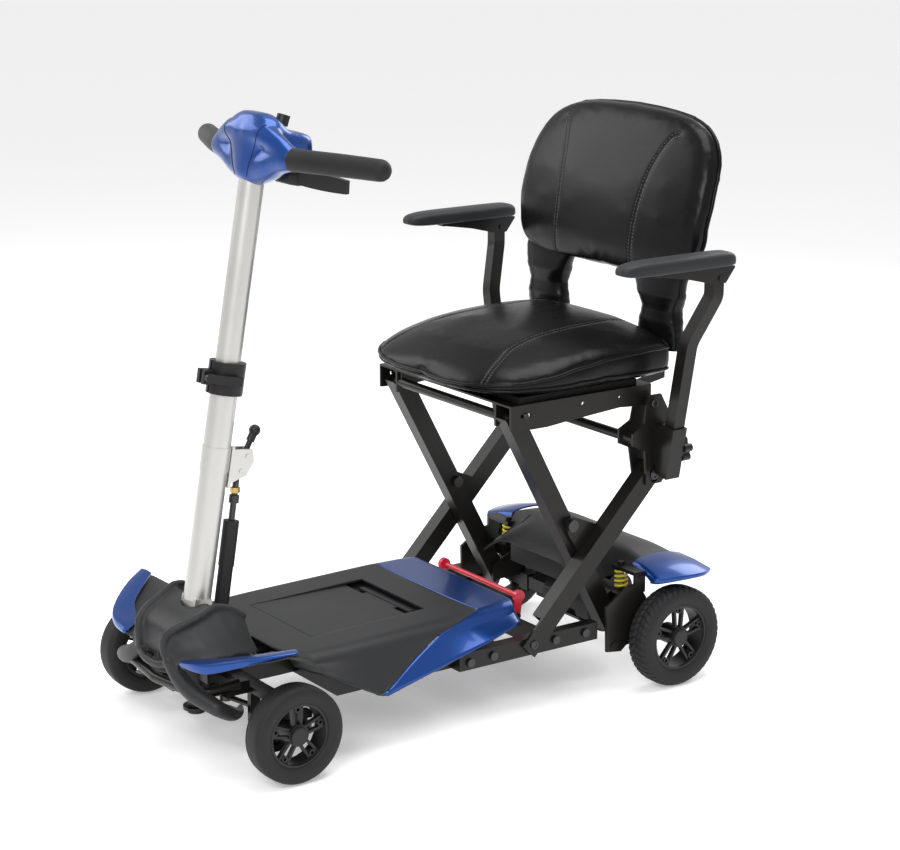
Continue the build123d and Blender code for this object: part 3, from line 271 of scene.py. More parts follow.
def patch(rows, thickness):
    """A curved sheet through rows of millimetre points, as a closed solid."""
    top = [[at(*p) for p in spline(row, 5)] for row in rows]
    points, faces = skin(top, closed=False)
    sheet = bmesh.new()
    verts = [sheet.verts.new(p) for p in points]
    for cell in faces:
        sheet.faces.new([verts[i] for i in cell])
    bmesh.ops.recalc_face_normals(sheet, faces=sheet.faces)
    bmesh.ops.solidify(sheet, geom=sheet.faces[:], thickness=thickness / 1000)
    sheet.verts.index_update()
    shape = [v.co.copy() for v in sheet.verts], [tuple(v.index for v in f.verts) for f in sheet.faces]
    sheet.free()
    return shape


# ---- tyres -----------------------------------------------------------------------
def tyre(name, node, body, rim_r, treads):
    """A tyre about its node's axle: ribs round the front ones, cut blocks on the rear ones."""
    lowest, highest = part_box(node)
    middle = [(a + b) / 2 for a, b in zip(lowest, highest)]
    half, radius = (highest[0] - lowest[0]) / 2, (highest[2] - lowest[2]) / 2
    turns = 288 if treads else 96
    across = []
    for k in range(41):                       # one bead, tread and the other bead
        u = -1 + k / 20
        across.append((u, abs(u)))
    rings = []
    for i in range(turns):
        angle = 2 * pi * i / turns
        ring = []
        for u, reach in across:
            swell = (1 - max(0.0, reach - 0.05) ** 4) ** 0.5 if reach < 1 else 0.0
            r = rim_r + (radius - rim_r) * (0.30 + 0.70 * swell)
            cut = 0.0
            if treads and reach < 0.86:
                lane = (angle / (2 * pi) * 44 + 0.9 * reach) % 1
                middle_cut = reach < 0.07
                cut = 0.0026 if (lane < 0.30 or middle_cut or 0.40 < reach < 0.46) else 0.0
            elif not treads and reach < 0.8:
                cut = 0.0022 if k % 4 in (0, 1) else 0.0
            elif not treads and 0.9 < reach < 0.96:
                cut = -0.0006
            r -= cut
            x = half * (u if reach < 0.94 else (0.97 if u > 0 else -0.97))
            ring.append(Vector((middle[0] + x, middle[1] + r * sin(angle), middle[2] + r * cos(angle))))
        for lip_x, lip_r in ((0.90, rim_r + 0.004), (0.84, rim_r), (-0.84, rim_r), (-0.90, rim_r + 0.004)):
            ring.append(Vector((middle[0] + half * lip_x, middle[1] + lip_r * sin(angle),
                                middle[2] + lip_r * cos(angle))))
        rings.append(ring)
    points, faces = skin(rings + [rings[0]], closed=True, caps=False)
    made = piece(name, points, faces, "tyre_black", body, (node,))
    weld(made, 1e-6)
    return made


def weld(made, distance):
    """Merges the points that lie together."""
    work = bmesh.new()
    work.from_mesh(made.data)
    bmesh.ops.remove_doubles(work, verts=work.verts, dist=distance)
    bmesh.ops.recalc_face_normals(work, faces=work.faces)
    work.to_mesh(made.data)
    work.free()


for side in ("left", "right"):
    tyre(f"front_tread_{side}", f"front_tyre_{side}", f"front_wheel_{side}", 0.050, False)
    tyre(f"rear_tread_{side}", f"rear_tyre_{side}", f"rear_wheel_{side}", 0.055, True)


# ---- cushions --------------------------------------------------------------------
def inflate(made, voxel, cap, pressure=1.4, frames=12):
    """Swells a closed cover by cloth simulation, then adds one subdivision."""
    modify(made, "REMESH", mode="VOXEL", voxel_size=voxel)
    apply(made)
    start = [v.co.copy() for v in made.data.vertices]
    cloth = modify(made, "CLOTH")
    cloth.settings.quality = 6
    cloth.settings.use_pressure = True
    cloth.settings.uniform_pressure_force = pressure
    cloth.settings.tension_stiffness = 12
    cloth.settings.bending_stiffness = 2
    cloth.settings.effector_weights.gravity = 0
    for number in range(1, frames + 1):
        scene.frame_set(number)
    graph = bpy.context.evaluated_depsgraph_get()
    swollen = made.evaluated_get(graph).data
    ends = [v.co.copy() for v in swollen.vertices]
    made.modifiers.clear()
    for vertex, was, now in zip(made.data.vertices, start, ends):
        step = now - was
        vertex.co = was + step * min(1.0, cap / max(step.length, 1e-9))
    scene.frame_set(1)
    modify(made, "SMOOTH", iterations=3, factor=0.5)
    modify(made, "SUBSURF", levels=1, render_levels=1)
    apply(made)
    made.data.shade_smooth()


def groove(made, line, depth, width):
    """Presses a channel into the surface along a line of points."""
    for vertex in made.data.vertices:
        near = min((vertex.co - p).length_squared for p in line)
        if near < (3 * width) ** 2:
            vertex.co -= vertex.normal * depth * 2.718 ** (-near / width ** 2)


def surface_of(made):
    return BVHTree.FromObject(made, bpy.context.evaluated_depsgraph_get())


def on_surface(tree, points, lift=0.0):
    """The nearest surface points and their normals."""
    found = []
    for p in points:
        spot, normal, _, _ = tree.find_nearest(p)
        found.append((spot + normal * lift, normal))
    return found


def piping(name, tree, line, radius, body, closed=True, finish="leather_black"):
    """A round welt laid along the surface."""
    spots = [s for s, _ in on_surface(tree, line, radius * 0.35)]
    if closed:
        spots.append(spots[0])
    rings = rings_along(spots, [radius] * len(spots), 8)
    if closed:
        rings[-1] = rings[0]
    return piece(name, *skin(rings, caps=not closed), finish, body)


def stitches(name, tree, line, offset, body, length=0.0034, pitch=0.0058):
    """Two rows of thread, one each side of a seam."""
    shapes = []
    travelled = 0.0
    for a, b in zip(line, line[1:]):
        run = b - a
        while travelled < run.length:
            middle = a + run.normalized() * travelled
            travelled += pitch
            for row in (-1, 1):
                spot, normal, _, _ = tree.find_nearest(middle)
                way = (run - normal * run.dot(normal)).normalized()
                beside = normal.cross(way)
                spot, normal, _, _ = tree.find_nearest(spot + beside * offset * row)
                start, end = spot - way * length / 2, spot + way * length / 2
                hump = spot + normal * 0.0006
                cross = [[p + beside * 0.00055 * sx + normal * 0.0004 * sz for sx, sz in
                          ((-1, -1), (1, -1), (1, 1), (-1, 1))] for p in (start, hump, end)]
                shapes.append(skin(cross))
        travelled -= run.length
    return piece(name, *join(*shapes), THREAD, body)


def cushion_rings(outline, bottom, top, inset, place):
    """Rings of a closed pad: outline in (u, v), with its lower and upper face as heights."""
    rings = []
    centre_v = sum(v for _, v in outline) / len(outline)
    for scale, share in ((0.30, 0.0), (0.62, 0.0), (0.88, 0.0), (0.97, 0.03), (1.0, 0.20), (1.005, 0.50),
                         (1.0, 0.80), (0.97, 0.95), (0.90, 1.0), (0.66, 1.0), (0.33, 1.0)):
        ring = []
        for u, v in outline:
            su = u * scale * inset
            sv = centre_v + (v - centre_v) * scale * inset
            foot, crest = bottom(su, sv), top(su, sv)
            ring.append(place(su, sv, foot + (crest - foot) * share))
        rings.append(ring)
    return rings


# the seat: high at the back, falling over its front edge
SEAT_OUT = [(0, -62), (80, -61), (146, -46), (190, -8), (210, 50), (215, 120), (214, 200), (210, 280),
            (192, 306), (100, 308), (0, 308)]
seat_outline = spline(SEAT_OUT, 6)
seat_outline = seat_outline[:-1] + [(-u, v) for u, v in reversed(seat_outline[1:])]
SEAT_EDGE = [(-70, 525), (-20, 531), (30, 545), (90, 561), (150, 570), (240, 574), (310, 571)]
SEAT_CREST = [(-70, 529), (-45, 548), (-10, 575), (30, 592), (80, 601), (200, 605), (270, 604), (312, 592)]


def between(table, value):
    """Straight-line reading of a table of (key, value) pairs."""
    for (k0, v0), (k1, v1) in zip(table, table[1:]):
        if value <= k1:
            return v0 + (v1 - v0) * max(0.0, value - k0) / (k1 - k0)
    return table[-1][1]


def seat_top(u, v):
    edge, crest = between(SEAT_EDGE, v), between(SEAT_CREST, v)
    return edge + (crest - edge) * (1 - min(1.0, abs(u) / 214) ** 2.6)


seat_pad = piece("seat_pad", *skin(cushion_rings(
    seat_outline, lambda u, v: 519.5, lambda u, v: seat_top(u, v) - 3, 0.975, at)),
    "leather_black", "seat", ("seat_cushion",))
inflate(seat_pad, 0.006, 0.009)
for vertex in seat_pad.data.vertices:
    vertex.co.z = max(vertex.co.z, 0.5165)

seat_seams = []
for mark in (-1, 1):
    plan = spline([(mark * 98, 304), (mark * 103, 220), (mark * 108, 130), (mark * 118, 50),
                   (mark * 134, 0), (mark * 150, -44)], 10)
    seat_seams.append([at(u, v, seat_top(u, v) + 2) for u, v in plan])
tree = surface_of(seat_pad)
seat_seams = [[p for p, _ in on_surface(tree, line)] for line in seat_seams]
for line in seat_seams:
    groove(seat_pad, line, 0.0016, 0.005)
tree = surface_of(seat_pad)
for number, line in enumerate(seat_seams):
    stitches(f"seat_stitch_{number}", tree, line, 0.0042, "seat")
top_edge = [at(u * 1.02, v + (4 if v > 0 else -3), seat_top(u, v) - 2) for u, v in seat_outline]
piping("seat_welt_top", tree, top_edge, 0.0030, "seat")
low_edge = [at(u * 1.02, v, 525) for u, v in seat_outline]
piping("seat_welt_low", tree, low_edge, 0.0026, "seat")

# the backrest: a D shape that leans back more towards its top
BACK_LINE = [(668, 289), (700, 289), (766, 295), (820, 309), (865, 326), (905, 343), (938, 354)]
BACK_DEEP = [(668, 52), (740, 56), (865, 58), (938, 46)]
BACK_OUT = [(0, 672), (96, 672), (168, 675), (212, 688), (233, 718), (241, 768), (240, 820), (228, 866),
            (198, 904), (148, 925), (80, 934), (0, 937)]
back_outline = spline(BACK_OUT, 6)
back_outline = back_outline[:-1] + [(-u, v) for u, v in reversed(back_outline[1:])]


def back_place(u, v, w):
    """w runs from 0 on the rear face to 51 at the middle of the front face."""
    front, deep = between(BACK_LINE, v), between(BACK_DEEP, v)
    return at(u, front + deep * (1 - w / 54), v)


def back_bottom(u, v):
    return 1.5


def back_top(u, v):
    return 51 - 16 * min(1.0, abs(u) / 241) ** 3 - 10 * max(0.0, (v - 850) / 85) ** 2


back_pad = piece("back_pad", *skin(cushion_rings(back_outline, back_bottom, back_top, 0.99, back_place)),
                 "leather_black", "seat_back", ("back_cushion",))
inflate(back_pad, 0.006, 0.009)
back_seams = []
for mark in (-1, 1):
    plan = spline([(mark * 100, 676), (mark * 101, 730), (mark * 105, 790), (mark * 116, 850),
                   (mark * 136, 896), (mark * 150, 906)], 8)
    back_seams.append([back_place(u, v, 56) for u, v in plan])
tree = surface_of(back_pad)
back_seams = [[p for p, _ in on_surface(tree, line)] for line in back_seams]
for line in back_seams:
    groove(back_pad, line, 0.0016, 0.005)
tree = surface_of(back_pad)
for number, line in enumerate(back_seams):
    stitches(f"back_stitch_{number}", tree, line, 0.0042, "seat_back")
rim_line = [back_place(u * 1.04, 800 + (v - 800) * 1.04, 9) for u, v in back_outline]
piping("back_welt", tree, rim_line, 0.0032, "seat_back")

# leather sleeves over the two hinged supports between seat and backrest
for mark, side in ((-1, "right"), (1, "left")):
    rings = []
    stations = spline([(556, 148, 52, 316, 17), (582, 150, 50, 318, 20), (604, 152, 45, 318, 21),
                       (628, 152, 45, 318, 21), (652, 150, 55, 318, 22), (690, 146, 64, 322, 20)], 5)
    for z, x, half, y, deep in stations:
        fold = 1.1 * sin(z * 0.16) + 0.5 * sin(z * 0.43 + 1.0)
        ring = []
        for k in range(28):
            angle = 2 * pi * k / 28
            cx, cy = cos(angle), sin(angle)
            bulge = 1 + 0.03 * sin(3 * angle + z * 0.09)
            ring.append(at(mark * (x + (half + fold) * bulge * (abs(cx) ** 0.75) * (1 if cx > 0 else -1)),
                           y + (deep + 0.6 * fold) * (abs(cy) ** 0.8) * (1 if cy > 0 else -1), z))
        rings.append(ring)
    sleeve = piece(f"support_sleeve_{side}", *skin(rings), "leather_black", None)
    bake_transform(sleeve)

# ---- armrest pads ----------------------------------------------------------------
for mark, side in ((1, "left"), (-1, "right")):
    lowest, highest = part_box(f"armrest_pad_{side}")
    mid_x = (lowest[0] + highest[0]) / 2
    rings = []
    stations = spline([(0.0, 0.30, 0.30), (0.02, 0.62, 0.55), (0.07, 0.84, 0.80), (0.2, 0.96, 0.98),
                       (0.5, 1.0, 1.0), (0.8, 1.0, 1.0), (0.93, 0.97, 0.95), (0.98, 0.84, 0.78),
                       (1.0, 0.55, 0.5)], 5)
    for share, wide, tall in stations:
        y = lowest[1] + (highest[1] - lowest[1]) * share
        half, rise = (highest[0] - lowest[0]) / 2 * wide, (highest[2] - lowest[2])
        ring = []
        for k in range(32):
            angle = 2 * pi * k / 32
            cx, cz = cos(angle), sin(angle)
            x = mid_x + half * (abs(cx) ** 0.55) * (1 if cx > 0 else -1)
            if cz >= 0:
                z = lowest[2] + rise * 0.36 + rise * (0.64 * tall) * cz ** 0.75
            else:
                z = lowest[2] + rise * 0.36 - rise * 0.36 * tall * (-cz) ** 0.4
            ring.append(Vector((x, y, z)))
        rings.append(ring)
    pad = piece(f"armrest_cover_{side}", *skin(rings), "pad_black", f"armrest_{side}",
                (f"armrest_pad_{side}",))
    modify(pad, "SUBSURF", levels=1, render_levels=1)

# ---- grips and tiller head -------------------------------------------------------
lean = 10 * pi / 180
PIVOT_Y, PIVOT_Z = -480, 200


def up_tiller(along, behind=0.0, x=0.0):
    """A millimetre point beside the tiller's axis."""
    return (x, PIVOT_Y + along * sin(lean) + behind * cos(lean),
            PIVOT_Z + along * cos(lean) - behind * sin(lean))


_, head_y, head_z = up_tiller(715)
GRIP = [(92, -355, 911), (130, -345, 911), (190, -321, 910), (251, -295, 908)]
for side, mark in (("left", 1), ("right", -1)):
    path = [(mark * x, y, z) for x, y, z in GRIP]
    grip = piece(f"grip_{side}", *tube(path, 17, 8, 28, taper=(17.5, 17.2, 17, 16.5)), "grip_black",
                 "tiller_upper", ("grips",) if mark == 1 else ())


def oval(along, behind, half_x, half_y, x=0.0, sides=28, power=0.8):
    """A rounded ring across the tiller."""
    ring = []
    for k in range(sides):
        angle = 2 * pi * k / sides
        cx, cy = cos(angle), sin(angle)
        ring.append(at(*up_tiller(along, behind + half_y * (abs(cy) ** power) * (1 if cy > 0 else -1),
                                  x + half_x * (abs(cx) ** power) * (1 if cx > 0 else -1))))
    return ring


body = skin([oval(*s) for s in ((680, 0, 24, 25), (692, 0, 26, 27), (708, 2, 34, 31), (726, 4, 46, 35),
                                (746, 3, 58, 36), (762, 0, 60, 31), (775, -3, 50, 23), (783, -5, 30, 14))])
shoulder = mirrored(join(
    tube([(8, -358, 884), (42, -356, 896), (74, -355, 907), (100, -354, 911)], 22, taper=(24, 25, 22, 20)),
    tube([(10, -368, 946), (44, -364, 942), (78, -359, 930), (99, -356, 917)], 16, taper=(17, 18, 16, 15))))
tail = skin([[at(x * w + 10, head_y + dy, 946 + drop + t * 20 - 20) for x, t in
              ((-1, -1), (1, -1), (1.08, 0), (0.96, 0.9), (0, 1.0), (-0.96, 0.9), (-1.08, 0))]
             for dy, drop, w in ((8, 2, 46), (36, 0, 43), (62, -5, 37), (80, -11, 28))])
head = piece("head_shell", *join(body, shoulder, tail), "metallic_blue", "tiller_upper", ("tiller_head",))
melt(head, 0.003, 40, 0.6)
cut = piece("grip_cut", *mirrored(tube([(112, -350, 911), (130, -345, 911), (160, -334, 911)], 18.2, 6, 28)),
            SEAM, None)
modify(head, "BOOLEAN", object=cut, operation="DIFFERENCE", solver="EXACT")
apply(head)
bpy.data.objects.remove(cut)
head.data.shade_smooth()
tree = surface_of(head)
for mark in (-1, 1):
    line = spline([up_tiller(684, -20, mark * 17), up_tiller(706, -26, mark * 26),
                   up_tiller(728, -30, mark * 37), up_tiller(748, -26, mark * 46),
                   up_tiller(764, -16, mark * 50)], 8)
    piping(f"head_seam_{'left' if mark > 0 else 'right'}", tree, [at(*p) for p in line], 0.0006,
           "tiller_upper", closed=False, finish=SEAM)
console = skin([[at(x * w + 44, head_y + 34 + dy, head_z - 26 + z * h) for x, z in
                 ((-1, -1), (1, -1), (1, 0.6), (0.8, 1), (-0.8, 1), (-1, 0.6))]
                for dy, w, h in ((-14, 22, 10), (0, 26, 13), (18, 26, 13), (32, 18, 8))])
under = piece("head_console", *console, "black_plastic", "tiller_upper")
modify(under, "BEVEL", width=0.003, segments=3)

# ---- deck ------------------------------------------------------------------------
STATIONS = [(-398, 124, 130, 146), (-386, 150, 170, 146), (-366, 168, 192, 142), (-306, 172, 203, 109),
            (-261, 172, 205, 85), (-160, 171, 204, 110), (-60, 170, 203, 136), (0, 164, 190, 147),
            (24, 158, 172, 151)]
SEAM_Y, REAR_Y = -52, 24


def deck_point(u, y):
    """A point of the deck's skin: u is 0 in the middle, 1 at the skirt's lower edge."""
    half_top = between([(s[0], s[1]) for s in STATIONS], y)
    half_low = between([(s[0], s[2]) for s in STATIONS], y)
    z_low = between([(s[0], s[3]) for s in STATIONS], y)
    top = 163 + 9 * (y + 398) / 422
    if u <= 0.6:
        return at((half_top - 26) * u / 0.6, y, top)
    if u <= 0.8:
        turn = (u - 0.6) / 0.2 * 0.42 * pi
        return at(half_top - 26 + 26 * sin(turn), y, top - 26 * (1 - cos(turn)) * 0.8)
    start_x, start_z = half_top - 26 + 26 * sin(0.42 * pi), top - 26 * (1 - cos(0.42 * pi)) * 0.8
    share = (u - 0.8) / 0.2
    end_z = min(z_low, start_z - 1)
    return at(start_x + (half_low - start_x) * share, y, start_z + (end_z - start_z) * share)


def border(u):
    """Where the blue band starts: square over the deck, then forwards down the skirt."""
    if u <= 0.62:
        return SEAM_Y + 6 * (u / 0.62) ** 4
    return SEAM_Y + 6 - (268 - 52 + 6) * ((u - 0.62) / 0.38) ** 1.25


COLUMNS = [i / 40 for i in range(41)]
COLUMNS = [-u for u in reversed(COLUMNS[1:])] + COLUMNS


def deck_sheet(name, y_start, y_end, rows, finish, node):
    """One skin of the deck between two borders, given as functions of u."""
    grid = []
    for i in range(rows + 1):
        row = []
        for u in COLUMNS:
            y = y_start(abs(u)) + (y_end(abs(u)) - y_start(abs(u))) * i / rows
            p = deck_point(abs(u), y)
            row.append(Vector((-p.x if u < 0 else p.x, p.y, p.z)))
        grid.append(row)
    sheet = piece(name, *skin(grid, closed=False), finish, "chassis", (node,))
    modify(sheet, "SOLIDIFY", thickness=0.003, offset=-1)
    return sheet


FRONT_Y = -398
deck = deck_sheet("deck_skin", lambda u: FRONT_Y if u < 0.6 else FRONT_Y + 40 * (u - 0.6),
                  lambda u: border(u) - 1.2, 60, "cover_charcoal", "deck_shell")
if deck.data.polygons[0].normal.z < 0:
    deck.data.flip_normals()
low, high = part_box("battery_lid")
HOLE_X = 0.0932                                    # half the width of the lid's opening
rim = [(-HOLE_X, low[1] - 0.0012), (HOLE_X, low[1] - 0.0012),
       (HOLE_X, high[1] + 0.021), (-HOLE_X, high[1] + 0.021)]
hole = piece("lid_cut", *skin([[Vector((x, y, z)) for x, y in rim] for z in (0.14, 0.19)]), SEAM, None,
             smooth=False)
modify(deck, "BOOLEAN", object=hole, operation="DIFFERENCE", solver="EXACT")
apply(deck)
bpy.data.objects.remove(hole)
band = deck_sheet("deck_band_skin", border, lambda u: REAR_Y - 10 * max(0, u - 0.6) / 0.4, 24,
                  "metallic_blue", "deck_band")
if band.data.polygons[len(band.data.polygons) // 2].normal.z < 0:
    band.data.flip_normals()

TRAY_X = 134                                       # half the width of the tray under the opening
tray = [(-TRAY_X, low[1] * 1000 - SHIFT - 40), (TRAY_X, low[1] * 1000 - SHIFT - 40),
        (TRAY_X, high[1] * 1000 - SHIFT + 62), (-TRAY_X, high[1] * 1000 - SHIFT + 62)]
piece("lid_tray", *skin([[at(x, y, z) for x, y in tray] for z in (152, 155)]), "cover_charcoal", "chassis",
      smooth=False)
HANDLE_X = 0.074
rim = [(-HANDLE_X, high[1] + 0.003), (HANDLE_X, high[1] + 0.003),
       (HANDLE_X, high[1] + 0.015), (-HANDLE_X, high[1] + 0.015)]
pull = skin([[Vector((x, y, z)) for x, y in rim] for z in (0.155, high[2] - 0.002)])
handle = piece("lid_handle", *pull, "black_plastic", "chassis", smooth=False)
modify(handle, "BEVEL", width=0.0015, segments=2)

# ---- front shroud and fenders ----------------------------------------------------
RIB_UP = [(47, -550, 153), (40, -556, 176), (44, -552, 199), (55, -533, 212), (62, -508, 222),
          (66, -480, 236)]
RIB_BACK = [(66, -480, 236), (75, -458, 232), (86, -440, 220)]
RIB_DOWN = [(47, -550, 153), (74, -549, 137), (108, -542, 122), (148, -527, 108)]
RIB_CURL = [(148, -527, 108), (146, -502, 92), (120, -474, 80), (88, -452, 74)]
ARCH = [(-47, -550, 153), (-20, -557, 146), (20, -557, 146), (47, -550, 153)]
DISH = [0, 5, 5, 4, 3, 2]                          # how deep the panel lies between the ribs
TOP_SAG = [0, 0, 0, 0, 2, 6]
ACROSS = (-1, -0.7, -0.3, 0.3, 0.7, 1)
saddle = []
for (x, y, z), dish, sag in zip(RIB_UP, DISH, TOP_SAG):
    saddle.append([(x * s, y + dish * (1 - s ** 4) + 2, z - sag * (1 - s * s)) for s in ACROSS])
saddle = [list(row) for row in zip(*[spline(column, 4) for column in zip(*saddle)])]
saddle = [list(row) for row in zip(*saddle)]
ear = [[(47, -550, 153), (70, -552, 158), (88, -552, 163)],
       [(40, -556, 176), (68, -546, 170), (96, -540, 166)],
       [(44, -552, 199), (72, -532, 182), (104, -520, 168)],
       [(55, -533, 212), (80, -515, 190), (108, -502, 169)],
       [(62, -508, 222), (86, -496, 196), (112, -484, 169)],
       [(66, -480, 236), (90, -474, 204), (116, -462, 170)],
       [(75, -458, 232), (94, -455, 206), (116, -446, 168)],
       [(86, -440, 220), (96, -438, 198), (110, -430, 168)]]
flank = [[(47, -548, 151), (74, -547, 136), (108, -540, 121), (147, -525, 108)],
         [(46, -540, 140), (70, -536, 124), (102, -526, 106), (142, -505, 92)],
         [(44, -530, 132), (64, -524, 114), (90, -508, 94), (118, -478, 80)]]
lip = join(mirrored(join(patch(flank, 9), tube(RIB_CURL, 6, taper=(13, 11, 8, 5)),
                         tube(RIB_DOWN, 8, taper=(10, 13, 15, 13)),
                         tube(RIB_UP, 6, taper=(8, 7, 7, 7, 6.5, 6)),
                         tube(RIB_BACK, 5, taper=(6, 5, 4)), patch(ear, 5))), tube(ARCH, 7))
inner = [(86, -553, 165), (104, -524, 166), (118, -492, 167), (119, -455, 166), (106, -404, 162)]
outer = [(146, -545, 172), (188, -512, 184), (222, -474, 194), (243, -436, 201), (206, -384, 166)]
wing = []
for a, b in zip(inner, outer):
    wing.append([tuple(p + (q - p) * s for p, q in zip(a, b)) for s in (0, 0.33, 0.67, 1)])
wing_rows = [list(row) for row in zip(*[spline(col, 4) for col in zip(*wing)])]
wings = mirrored(patch(wing_rows, 4))
shroud = piece("shroud_skin", *join(patch(saddle, 5), lip, wings), "cover_charcoal", "chassis",
               ("front_shroud",))
melt(shroud, 0.0026, 6, 0.5)
turns = [2 * pi * k / 32 for k in range(32)]
bore = [[at(*up_tiller(along, 28 * sin(turn) + 6, 29 * cos(turn))) for turn in turns] for along in (-30, 90)]
mouth = piece("tube_cut", *skin(bore), SEAM, None)
modify(shroud, "BOOLEAN", object=mouth, operation="DIFFERENCE", solver="EXACT")
apply(shroud)
bpy.data.objects.remove(mouth)
shroud.data.shade_smooth()


def blade(name, sections, node, body):
    """A lacquered panel with a turned-down outer side, on both sides of the scooter."""
    rings = []
    for inner_edge, outer_edge, deep in spline_sections(sections, 6):
        mid = tuple((a + b) / 2 for a, b in zip(inner_edge, outer_edge))
        ring = [inner_edge, (mid[0], mid[1], mid[2] + 1.5), outer_edge,
                (outer_edge[0] + 0.8, outer_edge[1] - 0.5, outer_edge[2] - deep * 0.5),
                (outer_edge[0] - 1, outer_edge[1] + 1, outer_edge[2] - deep),
                (outer_edge[0] - 4, outer_edge[1] + 3, outer_edge[2] - deep),
                (outer_edge[0] - 4, outer_edge[1] + 3, outer_edge[2] - 4), (mid[0], mid[1], mid[2] - 2.5),
                (inner_edge[0], inner_edge[1], inner_edge[2] - 3)]
        rings.append([at(*p) for p in ring])
    made = piece(name, *mirrored(skin(rings)), "metallic_blue", body, (node,))
    modify(made, "BEVEL", width=0.0012, segments=2, limit_method="ANGLE", angle_limit=0.7)
    made.data.shade_smooth()
    return made


def spline_sections(sections, steps):
    """Smooth run through (inner point, outer point, depth) sections."""
    flat = spline([(*a, *b, d) for a, b, d in sections], steps)
    return [(row[0:3], row[3:6], row[6]) for row in flat]


FRONT_BLADE = [((88, -549, 170), (92, -557, 169), 6), ((102, -530, 173), (126, -554, 176), 12),
               ((126, -516, 178), (154, -543, 181), 15), ((160, -500, 187), (186, -517, 190), 12),
               ((196, -466, 197), (220, -480, 200), 7), ((224, -436, 205), (246, -442, 208), 4)]
REAR_BLADE = [((168, 252, 197), (224, 246, 187), 9), ((172, 262, 206), (240, 252, 190), 10),
              ((172, 300, 209), (253, 290, 191), 8), ((170, 330, 206), (252, 336, 189), 7),
              ((168, 356, 199), (236, 366, 187), 6)]
blade("front_fender_skin", FRONT_BLADE, "front_fenders", "chassis")
blade("rear_fender_skin", REAR_BLADE, "rear_fenders", "rear_unit")

# ---- rear cover ------------------------------------------------------------------
CREST = [(170, 190), (182, 201), (206, 211), (234, 217), (262, 219), (300, 216), (330, 209), (356, 197),
         (372, 176)]
REACH = [(170, 141), (225, 143), (246, 168), (262, 206), (330, 208), (360, 200), (374, 176)]
EDGE = [(170, 158), (225, 176), (246, 186), (262, 191), (330, 190), (360, 184), (374, 160)]
rows = []
for y, crest in spline(CREST, 3):
    reach, edge = between(REACH, y), between(EDGE, y)
    row = []
    for share in (-1, -0.93, -0.84, -0.74, -0.64, -0.5, -0.3, 0, 0.3, 0.5, 0.64, 0.74, 0.84, 0.93, 1):
        x = reach * share
        fall = max(0.0, (abs(share) - 0.5) / 0.5)
        row.append((x, y, crest - (crest - edge) * (fall ** 1.7)))
    rows.append(row)
cover = piece("rear_cover_skin", *patch(rows, 3), "cover_charcoal", "rear_unit", ("rear_cover",))
modify(cover, "BEVEL", width=0.001, segments=2, limit_method="ANGLE", angle_limit=0.9)
tree = surface_of(cover)
for mark in (-1, 1):
    line = spline([(mark * 96, 172, 200), (mark * 104, 230, 214), (mark * 112, 300, 212),
                   (mark * 104, 366, 190)], 8)
    piping(f"cover_seam_{'left' if mark > 0 else 'right'}", tree, [at(*p) for p in line], 0.0007,
           "rear_unit", closed=False, finish=SEAM)

# ---- small fittings --------------------------------------------------------------
def bolt_head(name, x, yz, radius, body, finish="steel", high=3.0, mark=1):
    """A domed hexagon socket head facing sideways."""
    rings = []
    for out, size in ((0, 1.0), (0.6 * high, 1.0), (high, 0.8), (high, 0.45), (0.45 * high, 0.42)):
        rings.append([at(mark * (x + out), yz[0] + radius * size * cos(2 * pi * k / 12),
                         yz[1] + radius * size * sin(2 * pi * k / 12)) for k in range(12)])
    made = piece(name, *skin(rings), finish, body)
    modify(made, "BEVEL", width=0.0004, segments=2, limit_method="ANGLE")
    return made


for mark, side in ((1, "left"), (-1, "right")):
    for label, x, yz, radius, holder in (
            ("base", 201.6, (26, 111), 7.5, "chassis"), ("seat_front", 187.1, (16, 488), 5, "seat"),
            ("seat_rear", 206.3, (262, 478), 7, "seat"), ("link_low", 206.2, (264, 357), 8, "rear_links")):
        bolt_head(f"bolt_{label}_{side}", x, yz, radius, holder, mark=mark)
nut = piece("strut_nut", *skin([[at(8 * cos(pi * k / 3), -403 + 8 * sin(pi * k / 3), z) for k in range(6)]
                                for z in (388, 397)]), BRASS, "strut_rod", smooth=False)
modify(nut, "BEVEL", width=0.0008, segments=2)

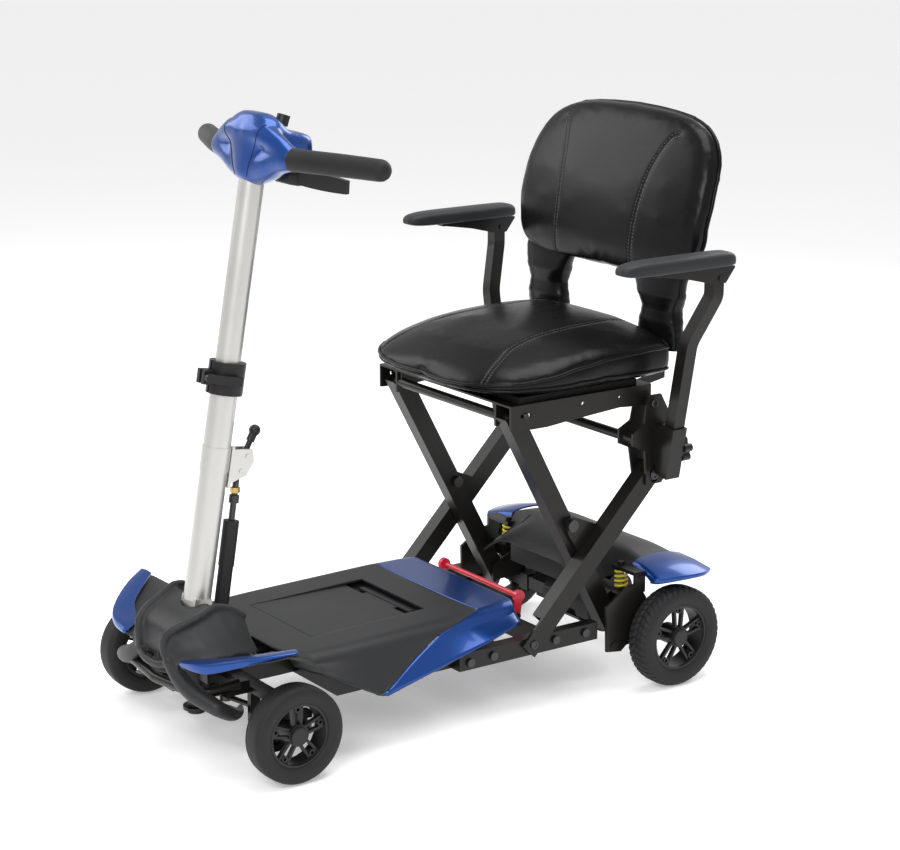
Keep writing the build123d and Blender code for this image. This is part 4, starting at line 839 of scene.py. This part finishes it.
SOFTENED = ("height_clamp", "clamp_lever", "release_bracket", "front_bumper", "speed_knob",
            "star_knob_left", "star_knob_right", "front_rim_left", "front_rim_right",
            "rear_rim_left", "rear_rim_right", "throttle_paddle", "battery_lid", "release_bar",
            "outer_arms", "inner_arms", "seat_frame", "front_frame", "rear_frame", "rear_links",
            "armrest_bracket_left", "armrest_bracket_right", "armrest_post_left",
            "armrest_post_right", "steering_column", "swing_arm")
for name in SOFTENED:                              # CAD nodes whose edges catch the light
    modify(frame["nodes"][name], "BEVEL", width=0.0006, segments=1, limit_method="ANGLE", angle_limit=0.7)

# ---- stage -----------------------------------------------------------------------
bpy.ops.mesh.primitive_plane_add(size=120, location=(0, 0, 0))
floor = bpy.context.object
floor.name = "studio_floor"
floor.data.materials.append(material("studio floor", (0.90, 0.90, 0.90), 0.75, mottled=0.005,
                                     grain=(30, 0.02, 0.0002)))
floor_shader = floor.data.materials[0].node_tree.nodes["Principled BSDF"]
floor_shader.inputs["Emission Color"].default_value = (1, 1, 1, 1)
floor_shader.inputs["Emission Strength"].default_value = 0.30
world = bpy.data.worlds.new("studio")
world.use_nodes = True
world.node_tree.nodes["Background"].inputs["Color"].default_value = (1, 1, 1, 1)
world.node_tree.nodes["Background"].inputs["Strength"].default_value = 0.62
scene.world = world
scene.view_settings.view_transform = "Standard"

for name, place, size, power in (("key", (1.9, -2.6, 2.6), 1.6, 70), ("fill", (-2.6, -1.4, 2.2), 2.0, 34),
                                 ("top", (0.2, 0.4, 3.0), 1.8, 46), ("rear", (-0.8, 2.8, 2.0), 1.4, 28)):
    lamp = bpy.data.lights.new(name, "AREA")
    lamp.size, lamp.energy = size, power
    holder = bpy.data.objects.new(name, lamp)
    holder.location = place
    holder.rotation_euler = (Vector((0, 0, 0.4)) - Vector(place)).to_track_quat("-Z", "Y").to_euler()
    scene.collection.objects.link(holder)

camera = bpy.data.cameras.new("camera")
camera.lens, camera.sensor_width = 94.64, 36
holder = bpy.data.objects.new("camera", camera)
eye, aim = at(3070.7, -2140.9, 1393.8), at(2.0, 0, 437.0)
holder.location = eye
holder.rotation_euler = (aim - eye).to_track_quat("-Z", "Y").to_euler()
scene.collection.objects.link(holder)
scene.camera = holder
